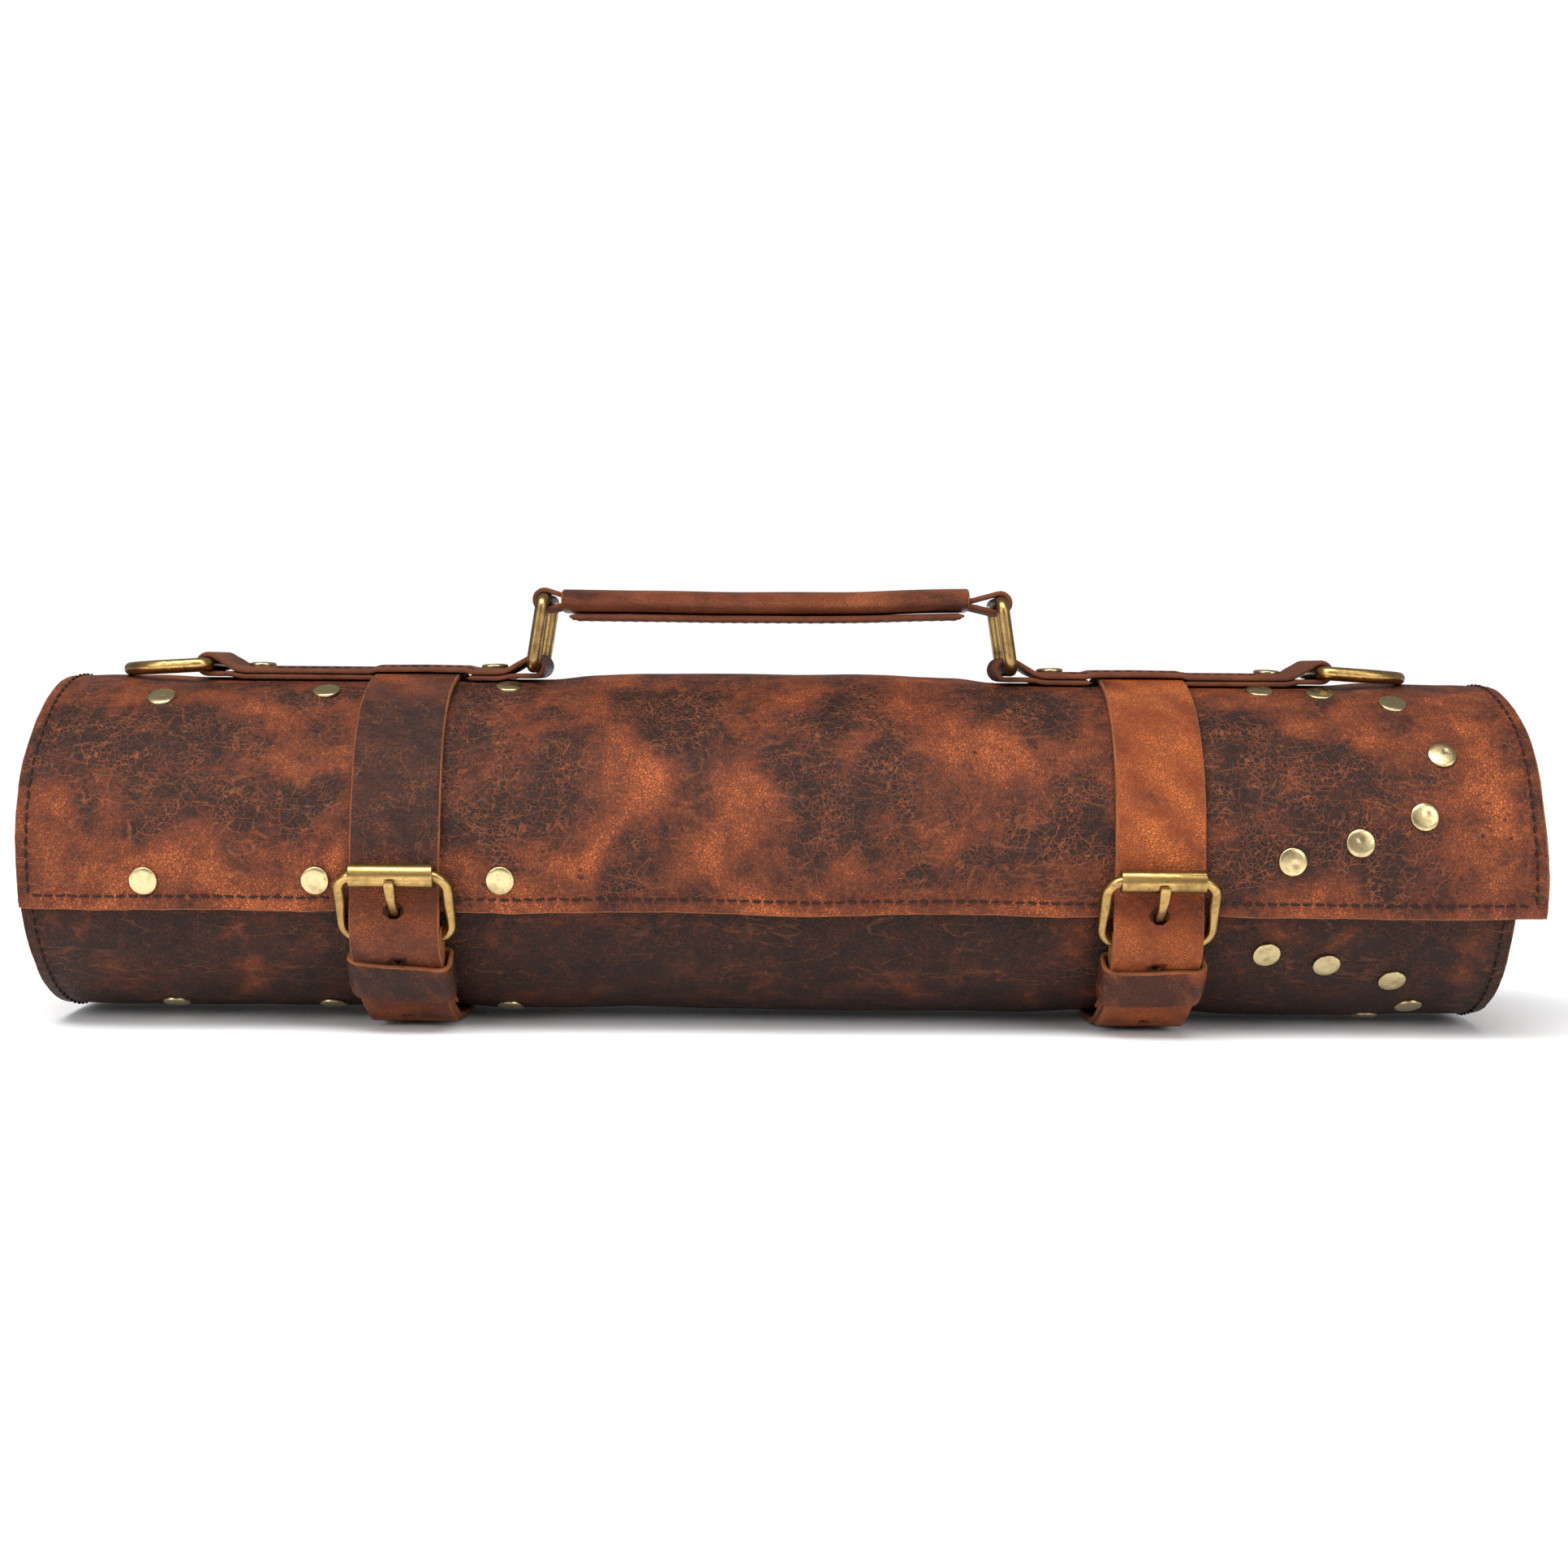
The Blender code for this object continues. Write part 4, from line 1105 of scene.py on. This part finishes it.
def build_keeper(side, x):
    """A band of leather round the layers of the strap, slightly aslant, with its free edges standing off."""
    mid_low = KEEPER_INNER_R - KEEPER_BACK_T / 2
    mid_high = TAIL_R + BELT_T / 2 + GAP + KEEPER_T / 2
    half = BELT_WIDTH / 2 + GAP + KEEPER_T / 2 + 0.5
    centre_r, height = (mid_low + mid_high) / 2, mid_high - mid_low
    outline = rounded_rectangle(2 * half, height, (3.6, 3.6, 1.8, 1.8))
    loop = spline([Vector((u, v, 0)) for u, v in outline], 0.9, closed=True, straight=1.2)
    lean, level = (1.2, 0.4) if side == "left" else (-0.5, 0.3)
    across = edge_stations(MEAN_RADIUS * radians(KEEPER_TOP - KEEPER_BOTTOM) + 1, 1.6)
    width = across[-1]
    travelled, rows = 0, []
    for i, (place, along) in enumerate(zip(loop, tangents(loop, closed=True))):
        if i:
            travelled += (place - loop[i - 1]).length
        normal = Vector((along.y, -along.x, 0))
        front = smooth((place.y + height / 2) / height)
        thickness = KEEPER_BACK_T + (KEEPER_T - KEEPER_BACK_T) * front
        tip = 0.5 * wander(travelled, 0, 83, 12) * front
        row = []
        for e in across:
            to_edge = min(e, width - e)
            belly = 0.45 * sin(pi * e / width) * front - 0.2 * front
            wave = 0.6 * wander(travelled, e, 31 + lean, 12) * front
            slant = (place.x / half) * lean * front
            angle = KEEPER_TOP + 0.5 - degrees((e + slant) / MEAN_RADIUS) + tip
            rounding = edge_drop(to_edge, 0.6)
            entry = []
            for sign in (1, -1):
                p = place + normal * (sign * (thickness / 2 - rounding) + (belly + wave) * 0.6)
                point = polar(centre_r + p.y, angle, x + p.x)
                entry.append(fray(point, e, 0.1) if to_edge < 0.5 else point)
            row.append((*entry, (travelled, e)))
        rows.append(row)
    tone = plain_mottle(level, 0.6, 16, 71 + lean)
    keeper = solid_sheet(f"keeper_band_{side}", rows, (belt_leather[side], strap_edge), tone, closed=True)
    place_piece(keeper, f"keeper_loop_{side}", "strap_leather", f"keeper_loop_{side}")


# ---------------- base straps and rings

BASE_WIDTH = 25
BASE_DROOP = -0.9  # of the strap's long edges
BASE_SEAM = 3.2  # from the strap's edges
LOOP_R = RING_WIRE + 0.25 + STRAP_T / 2
LOW_LAYER_Z = AXIS.z + ROLL_TOP + GAP + STRAP_T / 2
TOP_LAYER_Z = LOW_LAYER_Z + STRAP_T + GAP
OVER_BELT_Z = AXIS.z + ROLL_TOP + GAP + BELT_T + GAP + STRAP_T / 2
BAR_Z = LOW_LAYER_Z + LOOP_R
OPEN_PIVOT_PLAY = 1.3
D_RING_REACH, D_RING_DROOP, D_RING_CORNER = 27.8, radians(3.7), 2.6
ROWS = (("front", -1), ("back", 1))  # of stitches


def base_path(side):
    """Middle line of a base strap: under the handle ring, back over it and the belt, and round the D-ring."""
    sign = SIDES[side]
    handle_x, d_x, belt_x = sign * HANDLE_BAR[side].x, sign * D_BAR[side].x, sign * BELT_X[side]
    ring_x = handle_x - (OPEN_PIVOT_PLAY if side == "right" else 0)
    under = BELT_WIDTH / 2 + 1.5
    points = [(belt_x - under, LOW_LAYER_Z), ((belt_x - under + ring_x) / 2, LOW_LAYER_Z)]
    points += arc((ring_x, BAR_Z), LOOP_R, 270, 90, 8)
    points += [
        (handle_x + 0.6, BAR_Z + LOOP_R), (handle_x + 7.4, TOP_LAYER_Z + 0.5), (handle_x + 9.3, TOP_LAYER_Z),
        (handle_x + 14, TOP_LAYER_Z), (belt_x - under - 1.5, TOP_LAYER_Z),
        (belt_x - under + 1, OVER_BELT_Z), (belt_x, OVER_BELT_Z + 0.15), (belt_x + under - 1, OVER_BELT_Z),
        (belt_x + under + 1.5, TOP_LAYER_Z), ((belt_x + under + d_x) / 2 - 4, TOP_LAYER_Z),
        (d_x - 9.3, TOP_LAYER_Z), (d_x - 7.4, TOP_LAYER_Z + 0.5),
    ]
    points += arc((d_x, BAR_Z), LOOP_R, 110, -90, 9)
    points += [((belt_x + under + d_x) / 2, LOW_LAYER_Z), (belt_x + under, LOW_LAYER_Z)]
    return [Vector((sign * u, AXIS.y, v)) for u, v in points]


def build_base_strap(side):
    path = spline(base_path(side), 0.9, straight=2)
    seed = 13 if side == "left" else 29

    def shape(place, e, travelled):
        """The strap droops a little over the roll's curve, except in its loops."""
        in_loop = max(window(place.x, bar[side].x, 6, 6) for bar in (HANDLE_BAR, D_BAR))
        droop = BASE_DROOP * (e / (BASE_WIDTH / 2)) ** 2 * (1 - in_loop)
        return Vector((0, 0.25 * wander(travelled, 0, seed, 30), droop))

    base = strap(
        f"base_strap_{side}", path, BACK, BASE_WIDTH, STRAP_T, (base_leather, base_edge),
        plain_mottle(0.46, 0.6, 22, seed), shape,
    )
    place_piece(base, "root", "base_leather", f"handle_base_{side}")

    inner_x, outer_x = sorted((abs(HANDLE_BAR[side].x) + 18, abs(D_BAR[side].x) - 18))
    top = [p for p in path if p.z > TOP_LAYER_Z - 0.3 and inner_x <= abs(p.x) <= outer_x]
    edge = BASE_WIDTH / 2 - BASE_SEAM
    rise = STRAP_T / 2 + BASE_DROOP * (edge / (BASE_WIDTH / 2)) ** 2
    for row, across in ROWS:
        run = [(Vector((p.x, AXIS.y + across * edge, p.z + rise)), UP) for p in top]
        name = f"base_stitching_{side}_{row}"
        stitch_run(name, run, "root", "base_leather", radius=0.3, proud=0.2, seed=seed + across)


def build_d_ring(side):
    node = f"d_ring_{side}"
    low, high = node_box(node)
    half = (high.y - low.y) / 2 - RING_WIRE
    corner = D_RING_CORNER
    outline = arc((D_RING_REACH - half, 0), half, -90, 90, 22)
    outline += arc((corner, half - corner), corner, 90, 180, 6)
    outline += arc((corner, -half + corner), corner, 180, 270, 6)
    out = Vector((SIDES[side] * cos(D_RING_DROOP), 0, -sin(D_RING_DROOP)))
    wire_loop(node, node, D_BAR[side], out, BACK, outline, 1.2, 1.5, RING_WIRE, brass, 18)


def build_handle_ring(side):
    node = f"handle_ring_{side}"
    low, high = node_box(node)
    bottom, top = HANDLE_BAR[side], UPPER_BAR[side]
    outline = rounded_rectangle(high.y - low.y - 2 * RING_WIRE, (top - bottom).length, [3.4] * 4)
    up = (top - bottom).normalized()
    wire_loop(node, node, (bottom + top) / 2, BACK, up, outline, 1.1, 1.5, RING_WIRE, dark_brass, 18)


# ---------------- handle

GRIP_LOW, GRIP_HIGH = node_box("handle_grip")
GRIP_T = 1.5
HANDLE_WIDTH = 22
HANDLE_SEAM = 3  # from the backing's edges


def build_handle():
    left, right = UPPER_BAR["left"], UPPER_BAR["right"]
    z = left.z - 0.2
    low, high = z - (STRAP_T + GAP) / 2, z + (STRAP_T + GAP) / 2
    meet = (GRIP_LOW.x + GRIP_HIGH.x) / 2
    points = [(meet - 0.2, low), ((meet + left.x) / 2, low), (left.x + 8, low)]
    points += arc((left.x, left.z), LOOP_R, -75, -285, 9)
    points += [(left.x + 8, high), (meet, high), (right.x - 9, high)]
    points += arc((right.x, right.z), LOOP_R, 105, -105, 9)
    points += [(right.x - 9, low), ((meet + right.x) / 2, low), (meet + 0.2, low)]
    path = spline([Vector((u, AXIS.y, v)) for u, v in points], 0.9, straight=2)
    loops = strap(
        "handle_loop_strap", path, BACK, HANDLE_WIDTH, STRAP_T, (base_leather, base_edge),
        plain_mottle(0.44, 0.55, 20, 57),
    )
    place_piece(loops, "handle", "base_leather", "handle_strap")
    build_grip(z)
    build_backing()


def grip_rise(x):
    """The grip bows a little and its right end lifts."""
    share = (x - GRIP_LOW.x) / (GRIP_HIGH.x - GRIP_LOW.x)
    bow = -0.35 * sin(pi * share) + 1.2 * smooth((share - 0.55) / 0.45) * share
    return bow + 0.12 * wander(x, 0, 3, 24)


def build_grip(z):
    """A sleeve of leather round the strap, its section a flattened oval that is fuller on top."""
    length = GRIP_HIGH.x - GRIP_LOW.x
    width, height = GRIP_HIGH.y - GRIP_LOW.y, GRIP_HIGH.z - GRIP_LOW.z
    stations = edge_stations(length, 2.2)
    sides = 64
    columns = []
    for k in range(sides):
        turn = 2 * pi * (k + 0.5) / sides
        across, up = squircle(turn, 0.55, 0.75)
        column = []
        for d in stations:
            x = GRIP_LOW.x + d
            drop = edge_drop(min(d, length - d), 0.6)
            swell = 1 + 0.03 * wander(x, 10 * cos(turn), 10 * sin(turn), 18)
            half_w, half_h = (width / 2 - drop) * swell, (height / 2 - drop) * swell
            u, v, rise = half_w * across, half_h * up, grip_rise(x)
            outer = Vector((x, AXIS.y + u, z + v + rise))
            inner = Vector((x, AXIS.y + u * (1 - GRIP_T / half_w), z + v * (1 - GRIP_T / half_h) + rise))
            column.append((outer, inner, (x, turn * 11)))
        columns.append(column)
    tone = plain_mottle(0.54, 0.6, 24, 37)
    grip = solid_sheet("grip_sleeve", columns, (handle_leather, strap_edge), tone, closed=True)
    place_piece(grip, "handle", "grip_leather", "handle_grip")


def build_backing():
    low, high = node_box("handle_backing")
    thickness, middle_z = high.z - low.z, (low.z + high.z) / 2
    stations = [low.x + (high.x - low.x) * i / 8 for i in range(9)]
    path = spline([Vector((x, AXIS.y, middle_z + grip_rise(x) * 0.9)) for x in stations], 2)
    backing = strap(
        "handle_backing_strip", path, BACK, high.y - low.y, thickness, (base_edge, base_edge),
        plain_mottle(0.4, 0.3, 24, 91),
    )
    place_piece(backing, "handle", "base_leather", "handle_backing")
    for row, across in ROWS:
        offset = Vector((0, across * (HANDLE_WIDTH / 2 - HANDLE_SEAM), -thickness / 2))
        run = [(p + offset, -UP) for p in path]
        name = f"handle_stitching_{row}"
        stitch_run(name, run, "handle", "base_leather", radius=0.28, proud=-0.35, seed=41 + across)


# ---------------- stage, lights and camera, in metres

WHITE = (1, 1, 1, 1)
SKY_LIGHT = 0.3  # how bright the white surroundings are as a light
# Painted light: how brightly the floor glows away from the case.
FLOOR_PAINTED_GLOW = 0.75
PAINTED_GLOW_FROM, PAINTED_GLOW_TO = 0.073, 0.15  # distance from the roll over which the floor's painted glow grows; its fade paints the contact shadow
FLOOR_REACH, FLOOR_DROP = 3, 0.0002
LIGHTS_AIM = Vector((0, 0, 0.06))


def build_floor():
    """A pale floor that glows white away from the case, which is painted light; the glow fades out under the
    case, which paints the contact shadow.
    """
    g = Graph("studio_floor")
    place = g.object_place()
    squeezed = g.node("VectorMath", {0: place, 1: (0.27, 1, 0)}, operation="MULTIPLY").outputs[0]
    away = g.node("VectorMath", {0: squeezed}, operation="LENGTH").outputs["Value"]
    # Painted light and shadow: the floor glows, except near the case, where the missing glow paints the
    # contact shadow.
    painted_glow = g.remap(away, PAINTED_GLOW_FROM, PAINTED_GLOW_TO, 0, FLOOR_PAINTED_GLOW, interpolation_type="SMOOTHSTEP")
    g.set(g.shader.inputs["Emission Color"], WHITE)
    g.set(g.shader.inputs["Emission Strength"], painted_glow)
    pale = g.ramp(g.noise(place, 3, 2), (0.3, (0.9, 0.9, 0.905)), (0.7, (0.93, 0.93, 0.93)))
    mesh = bpy.data.meshes.new("studio_floor")
    corners = [(FLOOR_REACH * u, FLOOR_REACH * v, 0) for u, v in ((-1, -1), (1, -1), (1, 1), (-1, 1))]
    mesh.from_pydata(corners, [], [(0, 1, 2, 3)])
    mesh.materials.append(g.finish(pale, 0.6, Specular_IOR_Level=0.25))
    floor = link_object("studio_floor", mesh)
    floor.location.z = -FLOOR_DROP


def build_world():
    """White surroundings, which light the case less brightly than they look."""
    world = bpy.data.worlds.new("studio")
    world.use_nodes = True
    tree = world.node_tree
    background = tree.nodes["Background"]
    background.inputs["Color"].default_value = WHITE
    rays = tree.nodes.new("ShaderNodeLightPath")
    strength = tree.nodes.new("ShaderNodeMapRange")
    strength.inputs["To Min"].default_value = SKY_LIGHT
    strength.inputs["To Max"].default_value = 1
    tree.links.new(rays.outputs["Is Camera Ray"], strength.inputs["Value"])
    tree.links.new(strength.outputs[0], background.inputs["Strength"])
    bpy.context.scene.world = world


def area_light(name, place, size, power):
    """A soft light that faces the case."""
    light = bpy.data.lights.new(name, "AREA")
    light.shape = "RECTANGLE"
    light.size, light.size_y = size
    light.energy = power
    obj = link_object(name, light)
    obj.location = place
    obj.rotation_euler = (LIGHTS_AIM - obj.location).to_track_quat("-Z", "Y").to_euler()


CAMERA_DISTANCE, CAMERA_RISE = 654, 58.5  # from the roll's axis, in millimetres
CAMERA_PITCH, CAMERA_ROLL = 3.3, 0.45
FOCAL_LENGTH, SENSOR = 46.06, 36


def build_camera():
    data = bpy.data.cameras.new("camera")
    data.lens, data.sensor_width = FOCAL_LENGTH, SENSOR
    camera = link_object("camera", data)
    camera.location = Vector((0, AXIS.y - CAMERA_DISTANCE, AXIS.z + CAMERA_RISE)) * MM
    camera.rotation_euler = (radians(90 - CAMERA_PITCH), radians(-CAMERA_ROLL), 0)
    bpy.context.scene.camera = camera


build_camera()
build_roll()
build_roll_stitches()
build_rivets()
for side in SIDES:
    build_closing_strap(side)
    build_base_strap(side)
    build_d_ring(side)
    build_handle_ring(side)
build_handle()
build_floor()
build_world()
area_light("key", (-0.15, -0.55, 1.1), (1.3, 0.5), 25)
area_light("left_fill", (-0.95, -1.05, 0.65), (0.7, 0.7), 8)
area_light("right_fill", (0.95, -1.05, 0.65), (0.7, 0.7), 7)
bpy.context.scene.view_settings.view_transform = "Standard"

bpy.context.view_layer.update()
